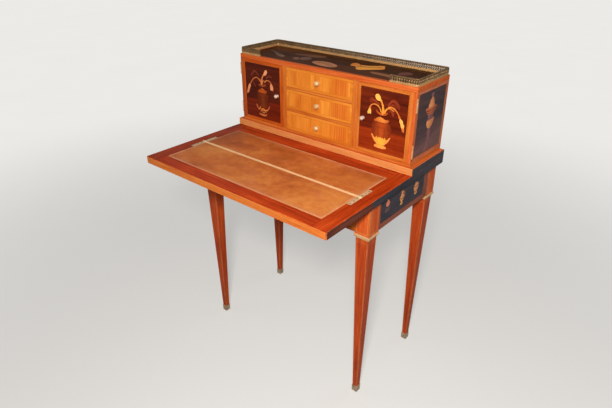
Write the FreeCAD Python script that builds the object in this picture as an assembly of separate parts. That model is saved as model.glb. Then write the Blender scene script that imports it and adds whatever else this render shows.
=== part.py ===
import FreeCAD, Part
import math
import os

V = FreeCAD.Vector

# A lady's writing desk: four tapering legs carry a shallow frieze, a fixed top with
# a fold-over writing flap, and a low cabinet of three drawers between two cupboards.
# Millimetres. X runs across the desk, Y from front to back, Z up. The origin is on
# the floor, under the middle of the desk with its flap opened towards the front.

# --- top, flap and plinth ---
WRITING_HEIGHT = 750.0
TOP_WIDTH = 716.0
TOP_THICKNESS = 22.0
FLAP_DEPTH = 201.0
FLAP_CORNER_RADIUS = 5.0
SEAM_GAP = 0.4
FOLD_GAP = 0.6
FOLD_END_CLEARANCE = 1.0
PLINTH_DEPTH = 200.0
PLINTH_THICKNESS = 22.0
BOARD_EDGE_ROUND = 0.9

# --- writing leather and the brass strip on each side of the seam ---
LEATHER_THICKNESS = 1.2
LEATHER_SIDE_MARGIN = 49.0
LEATHER_REAR_MARGIN = 53.5
LEATHER_FRONT_MARGIN = 44.5
STRIP_WIDTH = 5.0
STRIP_THICKNESS = 2.5
STRIP_PROUD = 0.15
STRIP_END_CLEARANCE = 1.0

# --- flap hinges ---
FLAP_HINGE_WIDTH = 13.0
FLAP_HINGE_REACH = 52.0
FLAP_HINGE_LEAF = 2.0
FLAP_KNUCKLE_RADIUS = 3.2
FLAP_PIN_RADIUS = 1.2
FLAP_NOTCH_CLEARANCE = 0.5
FLAP_HINGE_SCREW_COUNT = 3
SCREW_HEAD_RADIUS = 2.4
SCREW_HEAD_DEPTH = 1.5
SCREW_SHANK_RADIUS = 1.1
SCREW_LENGTH = 12.0

# --- legs with their collars and sabots ---
TOP_SIDE_OVERHANG = 11.0
TOP_FRONT_OVERHANG = 8.0
TOP_REAR_OVERHANG = 19.0
LEG_BLOCK = 48.0
LEG_TAPER_TOP = 43.0
LEG_TAPER_FOOT = 17.5
LEG_EDGE_ROUND = 0.8
COLLAR_HEIGHT = 12.0
COLLAR_WIDTH = 52.5
COLLAR_DROP = 3.0
COLLAR_NECK = 46.5
COLLAR_NECK_HEIGHT = 2.2
COLLAR_COVE_HEIGHT = 2.6
COLLAR_STEP_HEIGHT = 1.0
COLLAR_BAND_HEIGHT = 3.6
SABOT_WIDTH = 20.5
SABOT_HEIGHT = 28.0
SABOT_SOLE = 4.0
SABOT_TOE_ROUND = 6.5
SABOT_EDGE_ROUND = 1.5

# --- frieze ---
FRIEZE_HEIGHT = 96.0
APRON_THICKNESS = 18.0
FRONT_RAIL_DEPTH = 22.0
LOWER_RAIL_HEIGHT = 14.0
UPPER_RAIL_HEIGHT = 16.0
FRONT_STILE_WIDTH = 12.0
WOOD_EDGE_ROUND = 0.5

# --- lopers, the two bearers that are drawn out under the open flap ---
LOPER_WIDTH = 22.0
LOPER_HEIGHT = 36.0
LOPER_OUT = 150.0
LOPER_HELD = 170.0
LOPER_CLEARANCE = 0.3
LOPER_GUIDE_WALL = 10.0
LOPER_GUIDE_SHELF = 11.0

# --- drawer work ---
RUNNING_CLEARANCE = 0.3
FRIEZE_DRAWER_DEPTH = 322.0
FRIEZE_DRAWER_FRONT = 18.0
FRIEZE_DRAWER_SIDE = 9.0
FRIEZE_DRAWER_BOTTOM = 5.0
FRIEZE_DRAWER_DROP = 9.0
RUNNER_WIDTH = 16.0
RUNNER_HEIGHT = 12.0
FRONT_GAP = 0.5
SMALL_DRAWER_FRONT = 12.0
SMALL_DRAWER_SIDE = 6.0
SMALL_DRAWER_BOTTOM = 4.0
SMALL_DRAWER_DROP = 7.0
SMALL_DRAWER_REAR_GAP = 6.0

# --- cabinet ---
CABINET_WIDTH = 686.0
CABINET_HEIGHT = 232.0
CABINET_FRONT_SETBACK = 10.0
CABINET_REAR_SETBACK = 0.5
CABINET_BASE = 8.0
CABINET_TOP = 14.0
CABINET_SIDE = 10.0
CABINET_BACK = 8.0
DRAWER_BAY = 265.0
DRAWER_COUNT = 3
PARTITION = 16.0
DIVIDER = 8.0
DOOR_THICKNESS = 16.0
DOOR_GAP = 0.5

# --- door hinges ---
DOOR_HINGE_HEIGHT = 40.0
DOOR_HINGE_REACH = 12.0
DOOR_HINGE_LEAF = 1.0
DOOR_HINGE_INSET = 17.0
DOOR_HINGE_STANDOFF = 1.4
DOOR_HINGE_SETBACK = 1.8
DOOR_KNUCKLE_RADIUS = 2.4
DOOR_PIN_RADIUS = 1.0
KNUCKLE_GAP = 0.2
KNUCKLE_CLEARANCE = 0.3
PIN_CLEARANCE = 0.05

# --- knobs ---
DOOR_KNOB_INSET = 24.0
DOOR_KNOB_RADIUS = 6.5
DOOR_KNOB_PROJECTION = 15.0
DRAWER_KNOB_RADIUS = 8.5
DRAWER_KNOB_PROJECTION = 15.0
LOPER_KNOB_RADIUS = 5.0
LOPER_KNOB_PROJECTION = 11.0
KNOB_NECK_SHARE = 0.40
KNOB_ROSE_SHARE = 0.80
KNOB_HEAD_SHARE = 0.60
KNOB_DOME_SHARE = 0.34
KNOB_ROSE_THICKNESS = 1.5

# --- gallery ---
GALLERY_HEIGHT = 22.0
GALLERY_INSET = 3.5
GALLERY_PLATE = 1.6
GALLERY_BEAD = 3.2
GALLERY_BEAD_HEIGHT = 2.8
GALLERY_FOOT_HEIGHT = 3.6
GALLERY_POST = 6.5
GALLERY_BEND = 8.0
GALLERY_RETURN = 84.0
GALLERY_PITCH = 10.8
GALLERY_SLOT_WIDTH = 7.2
GALLERY_SLOT_MARGIN = 2.0

# --- places that follow from the sizes above ---
DEPTH = 2 * FLAP_DEPTH + FOLD_END_CLEARANCE + PLINTH_DEPTH
HALF_WIDTH = TOP_WIDTH / 2
FLAP_FRONT = -DEPTH / 2
SEAM = FLAP_FRONT + FLAP_DEPTH
PLINTH_FRONT = SEAM + FLAP_DEPTH + FOLD_END_CLEARANCE
REAR = DEPTH / 2
TOP_UNDERSIDE = WRITING_HEIGHT - TOP_THICKNESS
FRIEZE_BOTTOM = TOP_UNDERSIDE - FRIEZE_HEIGHT
PLINTH_TOP = WRITING_HEIGHT + PLINTH_THICKNESS

LEG_OUTER = HALF_WIDTH - TOP_SIDE_OVERHANG
LEG_INNER = LEG_OUTER - LEG_BLOCK
LEG_FRONT = SEAM + TOP_FRONT_OVERHANG
LEG_REAR = REAR - TOP_REAR_OVERHANG
LEG_X = LEG_OUTER - LEG_BLOCK / 2
LEG_FRONT_Y = LEG_FRONT + LEG_BLOCK / 2
LEG_REAR_Y = LEG_REAR - LEG_BLOCK / 2
COLLAR_TOP = FRIEZE_BOTTOM - COLLAR_DROP

LOWER_RAIL_TOP = FRIEZE_BOTTOM + LOWER_RAIL_HEIGHT
UPPER_RAIL_BOTTOM = TOP_UNDERSIDE - UPPER_RAIL_HEIGHT
LOPER_RIGHT = LEG_INNER - LOPER_CLEARANCE
LOPER_LEFT = LOPER_RIGHT - LOPER_WIDTH
LOPER_SLOT_LEFT = LOPER_LEFT - LOPER_CLEARANCE
LOPER_TOP = TOP_UNDERSIDE - LOPER_CLEARANCE
LOPER_BOTTOM = LOPER_TOP - LOPER_HEIGHT
LOPER_SLOT_BOTTOM = LOPER_BOTTOM - LOPER_CLEARANCE
FRIEZE_DRAWER_BAY = LOPER_SLOT_LEFT - FRONT_STILE_WIDTH

LEATHER_HALF = HALF_WIDTH - LEATHER_SIDE_MARGIN
HINGE_INNER = LEATHER_HALF
HINGE_OUTER = HINGE_INNER + FLAP_HINGE_WIDTH
HINGE_X = (HINGE_INNER + HINGE_OUTER) / 2
FOLD_AXIS_Z = WRITING_HEIGHT + FOLD_GAP / 2

CABINET_HALF = CABINET_WIDTH / 2
CABINET_FRONT = PLINTH_FRONT + CABINET_FRONT_SETBACK
CABINET_REAR = REAR - CABINET_REAR_SETBACK
CABINET_TOP_Z = PLINTH_TOP + CABINET_HEIGHT
BAY_BOTTOM = PLINTH_TOP + CABINET_BASE
BAY_TOP = CABINET_TOP_Z - CABINET_TOP
BAY_REAR = CABINET_REAR - CABINET_BACK
SIDE_INNER = CABINET_HALF - CABINET_SIDE
PARTITION_INNER = DRAWER_BAY / 2
PARTITION_OUTER = PARTITION_INNER + PARTITION
DRAWER_OPENING = (BAY_TOP - BAY_BOTTOM - (DRAWER_COUNT - 1) * DIVIDER) / DRAWER_COUNT

DOOR_LEFT = PARTITION_OUTER + DOOR_GAP
DOOR_AXIS_X = CABINET_HALF + DOOR_HINGE_STANDOFF
DOOR_AXIS_Y = CABINET_FRONT + DOOR_HINGE_SETBACK
MITRE_REACH = 2 * (DOOR_THICKNESS + CABINET_SIDE)


def block(x0, x1, y0, y1, z0, z1, edge=0.0):
    """A rectangular solid between two corners, with its edges rounded by edge."""
    solid = Part.makeBox(x1 - x0, y1 - y0, z1 - z0, V(x0, y0, z0))
    if edge > 0:
        solid = solid.makeFillet(edge, solid.Edges)
    return solid


def mirrored(shape):
    """The same shape on the other side of the desk's middle plane."""
    return shape.mirror(V(0, 0, 0), V(1, 0, 0))


def rod(radius, start, end):
    """A round bar from one point to another."""
    along = end - start
    return Part.makeCylinder(radius, along.Length, start, along)


def square_wire(x, y, z, width):
    """A square outline of the given width, centred on (x, y) at height z."""
    half = width / 2
    corners = [V(x - half, y - half, z), V(x + half, y - half, z),
               V(x + half, y + half, z), V(x - half, y + half, z)]
    return Part.makePolygon(corners + corners[:1])


def square_loft(x, y, sections):
    """A straight-sided solid through squares, given as (height, width) pairs."""
    wires = [square_wire(x, y, z, width) for z, width in sections]
    return Part.makeLoft(wires, True, True)


def upright_edges(shape):
    """The edges that run more up than sideways."""
    steep = []
    for edge in shape.Edges:
        box = edge.BoundBox
        if box.ZLength > 2 * (box.XLength + box.YLength):
            steep.append(edge)
    return steep


def knob(x, y, z, radius, projection):
    """A turned brass knob: a rose on the surface at (x, y, z), a neck and a domed head."""
    neck = radius * KNOB_NECK_SHARE
    rose = radius * KNOB_ROSE_SHARE
    throat = projection * (1 - KNOB_HEAD_SHARE)
    rim = projection * (1 - KNOB_DOME_SHARE)
    dome = projection - rim
    ball = (radius ** 2 + dome ** 2) / (2 * dome)
    half_turn = math.asin(radius / ball) / 2

    def at(out, forward):
        return V(x + out, y - forward, z)

    shoulder = at(ball * math.sin(half_turn), projection - ball + ball * math.cos(half_turn))
    foot = Part.makePolygon([at(0, projection), at(0, 0), at(rose, 0), at(rose, KNOB_ROSE_THICKNESS),
                             at(neck, KNOB_ROSE_THICKNESS), at(neck, throat), at(radius, rim)])
    cap = Part.Arc(at(radius, rim), shoulder, at(0, projection)).toShape()
    profile = Part.Face(Part.Wire(foot.Edges + [cap]))
    return profile.revolve(V(x, y, z), V(0, -1, 0), 360)


def knuckle_spans(width):
    """The two outer stretches of a hinge barrel and its middle one, about its centre."""
    length = (width - 2 * KNUCKLE_GAP) / 3
    outer = [(-width / 2, -width / 2 + length), (width / 2 - length, width / 2)]
    middle = [(-length / 2, length / 2)]
    return outer, middle


def hinge_leaf(plate, centre, along, radius, own, others, bore):
    """A hinge leaf: its plate with its own knuckles, clear of the other leaf's."""
    leaf = plate
    for low, high in others:
        low_end = centre + along * (low - KNUCKLE_GAP)
        high_end = centre + along * (high + KNUCKLE_GAP)
        leaf = leaf.cut(rod(radius + KNUCKLE_CLEARANCE, low_end, high_end))
    for low, high in own:
        leaf = leaf.fuse(rod(radius, centre + along * low, centre + along * high))
    reach = own[0][0] - radius, own[-1][1] + radius
    leaf = leaf.cut(rod(bore, centre + along * reach[0], centre + along * reach[1]))
    return leaf.removeSplitter()


# --- legs ---

def leg(x, y):
    """A square leg: a block beside the frieze, then a taper down into its sabot."""
    upper = block(x - LEG_BLOCK / 2, x + LEG_BLOCK / 2, y - LEG_BLOCK / 2, y + LEG_BLOCK / 2,
                  COLLAR_TOP, TOP_UNDERSIDE)
    upper = upper.makeFillet(LEG_EDGE_ROUND, upright_edges(upper))
    taper = square_loft(x, y, [(SABOT_SOLE, foot_width(SABOT_SOLE)), (COLLAR_TOP, LEG_TAPER_TOP)])
    taper = taper.makeFillet(LEG_EDGE_ROUND, upright_edges(taper))
    return upper.fuse(taper).removeSplitter()


def foot_width(height):
    """The width of the tapering leg at a height above the floor."""
    slope = (LEG_TAPER_TOP - LEG_TAPER_FOOT) / (COLLAR_TOP - SABOT_HEIGHT)
    return LEG_TAPER_FOOT + slope * (height - SABOT_HEIGHT)


def collar(x, y):
    """The moulded brass collar round the top of a leg's taper."""
    middle = (COLLAR_NECK + COLLAR_WIDTH) / 2
    base = COLLAR_TOP - COLLAR_HEIGHT
    cove = base + COLLAR_NECK_HEIGHT
    step = cove + COLLAR_COVE_HEIGHT
    band = step + COLLAR_STEP_HEIGHT
    bevel = band + COLLAR_BAND_HEIGHT
    sections = [(base, COLLAR_NECK), (cove, COLLAR_NECK), (step, middle), (band, COLLAR_WIDTH),
                (bevel, COLLAR_WIDTH), (COLLAR_TOP, middle)]
    return square_loft(x, y, sections).cut(leg(x, y))


def sabot(x, y):
    """The brass shoe at a leg's foot, rounded towards the floor."""
    half = SABOT_WIDTH / 2
    shoe = block(x - half, x + half, y - half, y + half, 0, SABOT_HEIGHT)
    shoe = shoe.makeFillet(SABOT_EDGE_ROUND, upright_edges(shoe))
    sole = [edge for edge in shoe.Edges if edge.BoundBox.ZMax < SABOT_SOLE]
    shoe = shoe.makeFillet(SABOT_TOE_ROUND, sole)
    return shoe.cut(leg(x, y))


def leg_places():
    """Each leg's name and the middle of its block."""
    return {
        "front_left": (-LEG_X, LEG_FRONT_Y),
        "front_right": (LEG_X, LEG_FRONT_Y),
        "rear_left": (-LEG_X, LEG_REAR_Y),
        "rear_right": (LEG_X, LEG_REAR_Y),
    }


# --- frieze ---

def side_apron():
    """The right-hand board of the frieze, between the front and rear legs."""
    return block(LEG_OUTER - APRON_THICKNESS, LEG_OUTER, LEG_FRONT + LEG_BLOCK, LEG_REAR - LEG_BLOCK,
                 FRIEZE_BOTTOM, TOP_UNDERSIDE, WOOD_EDGE_ROUND)


def back_apron():
    """The rear board of the frieze, between the rear legs."""
    return block(-LEG_INNER, LEG_INNER, LEG_REAR - APRON_THICKNESS, LEG_REAR,
                 FRIEZE_BOTTOM, TOP_UNDERSIDE, WOOD_EDGE_ROUND)


def lower_front_rail():
    """The rail under the frieze drawer, between the front legs."""
    return block(-LEG_INNER, LEG_INNER, LEG_FRONT, LEG_FRONT + FRONT_RAIL_DEPTH,
                 FRIEZE_BOTTOM, LOWER_RAIL_TOP, WOOD_EDGE_ROUND)


def upper_front_rail():
    """The rail over the frieze drawer, from one loper slot to the other."""
    return block(-LOPER_SLOT_LEFT, LOPER_SLOT_LEFT, LEG_FRONT, LEG_FRONT + FRONT_RAIL_DEPTH,
                 UPPER_RAIL_BOTTOM, TOP_UNDERSIDE, WOOD_EDGE_ROUND)


def front_stile():
    """The stile right of the frieze drawer, stepped down under the loper."""
    rear = LEG_FRONT + FRONT_RAIL_DEPTH
    tall = block(FRIEZE_DRAWER_BAY, LOPER_SLOT_LEFT, LEG_FRONT, rear, LOWER_RAIL_TOP, UPPER_RAIL_BOTTOM)
    low = block(LOPER_SLOT_LEFT, LEG_INNER, LEG_FRONT, rear, LOWER_RAIL_TOP, LOPER_SLOT_BOTTOM)
    return tall.fuse(low).removeSplitter()


def drawer_runner():
    """The bearer under the right side of the frieze drawer."""
    return block(FRIEZE_DRAWER_BAY - RUNNER_WIDTH, FRIEZE_DRAWER_BAY, LEG_FRONT + FRONT_RAIL_DEPTH,
                 LEG_REAR - APRON_THICKNESS, LOWER_RAIL_TOP - RUNNER_HEIGHT, LOWER_RAIL_TOP)


def loper_guide():
    """The channel on the right apron in which a loper slides."""
    front = LEG_FRONT + LEG_BLOCK
    rear = LEG_REAR - LEG_BLOCK
    apron = LEG_OUTER - APRON_THICKNESS
    wall = LOPER_SLOT_LEFT - LOPER_GUIDE_WALL
    shelf = block(wall, apron, front, rear, LOPER_SLOT_BOTTOM - LOPER_GUIDE_SHELF, LOPER_SLOT_BOTTOM)
    inner = block(wall, LOPER_SLOT_LEFT, front, rear, LOPER_SLOT_BOTTOM, TOP_UNDERSIDE)
    outer = block(LOPER_RIGHT + LOPER_CLEARANCE, apron, front, rear, LOPER_SLOT_BOTTOM, TOP_UNDERSIDE)
    return shelf.fuse([inner, outer]).removeSplitter()


def loper():
    """The right-hand loper, drawn out under the flap."""
    front = LEG_FRONT - LOPER_OUT
    return block(LOPER_LEFT, LOPER_RIGHT, front, LEG_FRONT + LOPER_HELD, LOPER_BOTTOM, LOPER_TOP,
                 WOOD_EDGE_ROUND)


def loper_knob():
    """The small knob on the front end of the right-hand loper."""
    middle = (LOPER_LEFT + LOPER_RIGHT) / 2
    height = (LOPER_BOTTOM + LOPER_TOP) / 2
    return knob(middle, LEG_FRONT - LOPER_OUT, height, LOPER_KNOB_RADIUS,
                LOPER_KNOB_PROJECTION)


# --- writing surface ---

def flap_hinge_plate(front, rear, top):
    """The flat of one right-hand hinge leaf between two depths."""
    return block(HINGE_INNER, HINGE_OUTER, front, rear, top - FLAP_HINGE_LEAF, top)


def flap_hinge_axis():
    """The middle of the right-hand hinge's pin."""
    return V(HINGE_X, SEAM, FOLD_AXIS_Z)


def flap_hinge_rear_leaf():
    """The right-hand hinge leaf let into the fixed top, with the two outer knuckles."""
    outer, middle = knuckle_spans(FLAP_HINGE_WIDTH)
    plate = flap_hinge_plate(SEAM, SEAM + FLAP_HINGE_REACH, WRITING_HEIGHT)
    leaf = hinge_leaf(plate, flap_hinge_axis(), V(1, 0, 0), FLAP_KNUCKLE_RADIUS, outer, middle,
                      FLAP_PIN_RADIUS)
    return leaf.cut(Part.makeCompound(hinge_screws(1)))


def flap_hinge_front_leaf():
    """The right-hand hinge leaf let into the flap, with the middle knuckle."""
    outer, middle = knuckle_spans(FLAP_HINGE_WIDTH)
    plate = flap_hinge_plate(SEAM - FLAP_HINGE_REACH, SEAM, WRITING_HEIGHT)
    leaf = hinge_leaf(plate, flap_hinge_axis(), V(1, 0, 0), FLAP_KNUCKLE_RADIUS, middle, outer,
                      FLAP_PIN_RADIUS + PIN_CLEARANCE)
    return leaf.cut(Part.makeCompound(hinge_screws(-1)))


def flap_hinge_pin():
    """The right-hand hinge's pin."""
    half = V(FLAP_HINGE_WIDTH / 2, 0, 0)
    return rod(FLAP_PIN_RADIUS, flap_hinge_axis() - half, flap_hinge_axis() + half)


def screw(x, y, z):
    """A countersunk screw, its head flush with the height z."""
    head = Part.makeCone(SCREW_SHANK_RADIUS, SCREW_HEAD_RADIUS, SCREW_HEAD_DEPTH,
                         V(x, y, z - SCREW_HEAD_DEPTH))
    shank = rod(SCREW_SHANK_RADIUS, V(x, y, z - SCREW_LENGTH), V(x, y, z - SCREW_HEAD_DEPTH))
    return head.fuse(shank)


def hinge_screws(side):
    """The right-hand hinge's screws behind the seam (side 1) or before it (side -1)."""
    clear = FLAP_KNUCKLE_RADIUS + FLAP_NOTCH_CLEARANCE
    pitch = (FLAP_HINGE_REACH - clear) / FLAP_HINGE_SCREW_COUNT
    screws = []
    for index in range(FLAP_HINGE_SCREW_COUNT):
        reach = clear + pitch * (index + 0.5)
        screws.append(screw(HINGE_X, SEAM + side * reach, WRITING_HEIGHT))
    return screws


def hinge_pocket(side):
    """What one right-hand hinge leaf, its barrel and its screws take out of a board."""
    end = SEAM + side * FLAP_HINGE_REACH
    plate = flap_hinge_plate(min(SEAM, end), max(SEAM, end), WRITING_HEIGHT)
    notch = rod(FLAP_KNUCKLE_RADIUS + FLAP_NOTCH_CLEARANCE,
                V(HINGE_INNER - KNUCKLE_CLEARANCE, SEAM, FOLD_AXIS_Z),
                V(HINGE_OUTER + KNUCKLE_CLEARANCE, SEAM, FOLD_AXIS_Z))
    return Part.makeCompound([plate, notch] + hinge_screws(side))


def seam_strip(side):
    """The brass strip along the seam's rear edge (side 1) or front edge (side -1)."""
    near = SEAM + side * SEAM_GAP / 2
    far = near + side * STRIP_WIDTH
    end = HINGE_INNER - STRIP_END_CLEARANCE
    return block(-end, end, min(near, far), max(near, far), WRITING_HEIGHT - STRIP_THICKNESS,
                 WRITING_HEIGHT + STRIP_PROUD)


def leather_bed(side):
    """The space of the leather behind the seam (side 1) or before it (side -1)."""
    near = SEAM + side * (SEAM_GAP / 2 + STRIP_WIDTH)
    far = PLINTH_FRONT - LEATHER_REAR_MARGIN if side > 0 else FLAP_FRONT + LEATHER_FRONT_MARGIN
    return block(-LEATHER_HALF, LEATHER_HALF, min(near, far), max(near, far),
                 WRITING_HEIGHT - LEATHER_THICKNESS, WRITING_HEIGHT)


def leather(side):
    """The leather behind the seam (side 1) or before it (side -1), clear of the hinges."""
    pocket = hinge_pocket(side)
    return leather_bed(side).cut([pocket, mirrored(pocket)])


def inlaid(board, side):
    """A writing board with its beds for the strip, the leather and the hinges cut out."""
    pocket = hinge_pocket(side)
    return board.cut([leather_bed(side), seam_strip(side), pocket, mirrored(pocket)])


def desk_top():
    """The fixed top, from the seam to the back of the desk."""
    board = block(-HALF_WIDTH, HALF_WIDTH, SEAM + SEAM_GAP / 2, REAR, TOP_UNDERSIDE, WRITING_HEIGHT,
                  BOARD_EDGE_ROUND)
    return inlaid(board, 1)


def flap_board():
    """The writing flap, opened forward of the seam."""
    board = block(-HALF_WIDTH, HALF_WIDTH, FLAP_FRONT, SEAM - SEAM_GAP / 2, TOP_UNDERSIDE, WRITING_HEIGHT)
    corners = [edge for edge in upright_edges(board) if edge.BoundBox.YMax < SEAM - FLAP_DEPTH / 2]
    board = board.makeFillet(FLAP_CORNER_RADIUS, corners)
    rims = [edge for edge in board.Edges if edge.BoundBox.ZLength < BOARD_EDGE_ROUND]
    board = board.makeFillet(BOARD_EDGE_ROUND, rims)
    return inlaid(board, -1)


def plinth_board():
    """The board on the fixed top that carries the cabinet."""
    return block(-HALF_WIDTH, HALF_WIDTH, PLINTH_FRONT, REAR, WRITING_HEIGHT, PLINTH_TOP, BOARD_EDGE_ROUND)


# --- cabinet ---

def cabinet_base():
    """The cabinet's bottom board."""
    return block(-CABINET_HALF, CABINET_HALF, CABINET_FRONT, CABINET_REAR, PLINTH_TOP, BAY_BOTTOM,
                 WOOD_EDGE_ROUND)


def cabinet_top():
    """The cabinet's top board."""
    return block(-CABINET_HALF, CABINET_HALF, CABINET_FRONT, CABINET_REAR, BAY_TOP, CABINET_TOP_Z,
                 BOARD_EDGE_ROUND)


def cabinet_side():
    """The cabinet's right side, mitred to its door, with beds for its hinge leaves."""
    side = block(SIDE_INNER, CABINET_HALF, CABINET_FRONT, CABINET_REAR, BAY_BOTTOM, BAY_TOP,
                 WOOD_EDGE_ROUND)
    waste = along_mitre(-MITRE_REACH, MITRE_REACH, -DOOR_GAP / 2, MITRE_REACH, BAY_BOTTOM, BAY_TOP)
    return side.cut([waste] + door_hinge_beds(1))


def cabinet_back():
    """The back board between the cabinet's sides."""
    return block(-SIDE_INNER, SIDE_INNER, BAY_REAR, CABINET_REAR, BAY_BOTTOM, BAY_TOP)


def partition():
    """The upright board between the drawers and the right-hand cupboard."""
    return block(PARTITION_INNER, PARTITION_OUTER, CABINET_FRONT, BAY_REAR, BAY_BOTTOM, BAY_TOP,
                 WOOD_EDGE_ROUND)


def drawer_floor(index):
    """The height on which a small drawer runs, counted from the lowest drawer."""
    return BAY_BOTTOM + index * (DRAWER_OPENING + DIVIDER)


def drawer_divider(index):
    """The board under the small drawer of that index."""
    top = drawer_floor(index)
    return block(-PARTITION_INNER, PARTITION_INNER, CABINET_FRONT, BAY_REAR, top - DIVIDER, top,
                 WOOD_EDGE_ROUND)


def drawer_box(half, front, rear, low, high, side, bottom):
    """A drawer's two sides, its back and its bottom, butted behind the front board."""
    left = block(-half, -half + side, front, rear, low, high)
    right = mirrored(left)
    back = block(-half + side, half - side, rear - side, rear, low + bottom, high)
    floor = block(-half + side, half - side, front, rear, low, low + bottom)
    return [left, right, back, floor]


def small_drawer_front(index):
    """The front board of one small drawer."""
    low = drawer_floor(index) + FRONT_GAP
    high = drawer_floor(index) + DRAWER_OPENING - FRONT_GAP
    half = PARTITION_INNER - FRONT_GAP
    return block(-half, half, CABINET_FRONT, CABINET_FRONT + SMALL_DRAWER_FRONT, low, high, WOOD_EDGE_ROUND)


def small_drawer_box(index):
    """The box behind one small drawer's front."""
    low = drawer_floor(index) + RUNNING_CLEARANCE
    high = drawer_floor(index) + DRAWER_OPENING - SMALL_DRAWER_DROP
    return drawer_box(PARTITION_INNER - FRONT_GAP, CABINET_FRONT + SMALL_DRAWER_FRONT,
                      BAY_REAR - SMALL_DRAWER_REAR_GAP, low, high, SMALL_DRAWER_SIDE, SMALL_DRAWER_BOTTOM)


def small_drawer_knob(index):
    """The knob in the middle of one small drawer's front."""
    height = drawer_floor(index) + DRAWER_OPENING / 2
    return knob(0, CABINET_FRONT, height, DRAWER_KNOB_RADIUS, DRAWER_KNOB_PROJECTION)


def frieze_drawer_front():
    """The front board of the drawer in the frieze."""
    half = FRIEZE_DRAWER_BAY - FRONT_GAP
    return block(-half, half, LEG_FRONT, LEG_FRONT + FRIEZE_DRAWER_FRONT, LOWER_RAIL_TOP + FRONT_GAP,
                 UPPER_RAIL_BOTTOM - FRONT_GAP, WOOD_EDGE_ROUND)


def frieze_drawer_box():
    """The box behind the frieze drawer's front."""
    return drawer_box(FRIEZE_DRAWER_BAY - FRONT_GAP, LEG_FRONT + FRIEZE_DRAWER_FRONT,
                      LEG_FRONT + FRIEZE_DRAWER_DEPTH, LOWER_RAIL_TOP + RUNNING_CLEARANCE,
                      UPPER_RAIL_BOTTOM - FRIEZE_DRAWER_DROP, FRIEZE_DRAWER_SIDE, FRIEZE_DRAWER_BOTTOM)


def frieze_drawer_knob():
    """The knob in the middle of the frieze drawer's front."""
    height = (LOWER_RAIL_TOP + UPPER_RAIL_BOTTOM) / 2
    return knob(0, LEG_FRONT, height, DRAWER_KNOB_RADIUS, DRAWER_KNOB_PROJECTION)


# --- doors ---

def door_hinge_heights():
    """The middle heights of a door's two hinges."""
    inset = DOOR_HINGE_INSET + DOOR_HINGE_HEIGHT / 2
    return [BAY_BOTTOM + inset, BAY_TOP - inset]


def along_mitre(near, far, low, high, bottom, top):
    """A block laid along the right-hand door's mitre.

    near and far count from the hinge's axis inwards, low and high from the mitre to the door.
    """
    laid = block(near, far, low, high, bottom, top)
    laid.rotate(V(0, 0, 0), V(0, 0, 1), 135)
    laid.translate(V(DOOR_AXIS_X, DOOR_AXIS_Y, 0))
    return laid


def door_hinge_plate(z, side):
    """A right-hand hinge leaf's flat at height z, in the cabinet side (1) or the door (-1)."""
    inner = DOOR_GAP / 2
    outer = inner + DOOR_HINGE_LEAF
    low, high = (-outer, -inner) if side > 0 else (inner, outer)
    return along_mitre(0, DOOR_HINGE_REACH, low, high, z - DOOR_HINGE_HEIGHT / 2,
                       z + DOOR_HINGE_HEIGHT / 2)


def door_hinge_beds(side):
    """What the cabinet side (1) or the door (-1) gives up to its hinges' leaves and knuckles."""
    beds = []
    for z in door_hinge_heights():
        centre = V(DOOR_AXIS_X, DOOR_AXIS_Y, z)
        half = V(0, 0, DOOR_HINGE_HEIGHT / 2 + KNUCKLE_GAP)
        beds.append(door_hinge_plate(z, side))
        beds.append(rod(DOOR_KNUCKLE_RADIUS + KNUCKLE_CLEARANCE, centre - half, centre + half))
    return beds


def door_hinge_frame_leaf(z):
    """The hinge leaf let into the cabinet's right side at height z."""
    outer, middle = knuckle_spans(DOOR_HINGE_HEIGHT)
    return hinge_leaf(door_hinge_plate(z, 1), V(DOOR_AXIS_X, DOOR_AXIS_Y, z), V(0, 0, 1),
                      DOOR_KNUCKLE_RADIUS, outer, middle, DOOR_PIN_RADIUS)


def door_hinge_door_leaf(z):
    """The hinge leaf let into the right-hand door's edge at height z."""
    outer, middle = knuckle_spans(DOOR_HINGE_HEIGHT)
    return hinge_leaf(door_hinge_plate(z, -1), V(DOOR_AXIS_X, DOOR_AXIS_Y, z), V(0, 0, 1),
                      DOOR_KNUCKLE_RADIUS, middle, outer, DOOR_PIN_RADIUS + PIN_CLEARANCE)


def door_hinge_pin(z):
    """The pin of the right-hand door's hinge at height z."""
    half = V(0, 0, DOOR_HINGE_HEIGHT / 2)
    centre = V(DOOR_AXIS_X, DOOR_AXIS_Y, z)
    return rod(DOOR_PIN_RADIUS, centre - half, centre + half)


def door_leaf():
    """The right-hand door, mitred to the cabinet's side, with beds for its hinge leaves."""
    door = block(DOOR_LEFT, CABINET_HALF, CABINET_FRONT, CABINET_FRONT + DOOR_THICKNESS,
                 BAY_BOTTOM + DOOR_GAP, BAY_TOP - DOOR_GAP, WOOD_EDGE_ROUND)
    waste = along_mitre(-MITRE_REACH, MITRE_REACH, -MITRE_REACH, DOOR_GAP / 2, BAY_BOTTOM, BAY_TOP)
    return door.cut([waste] + door_hinge_beds(-1))


def door_knob():
    """The knob near the right-hand door's free edge."""
    height = (BAY_BOTTOM + BAY_TOP) / 2
    return knob(DOOR_LEFT + DOOR_KNOB_INSET, CABINET_FRONT, height, DOOR_KNOB_RADIUS,
                DOOR_KNOB_PROJECTION)


# --- gallery ---

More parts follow.
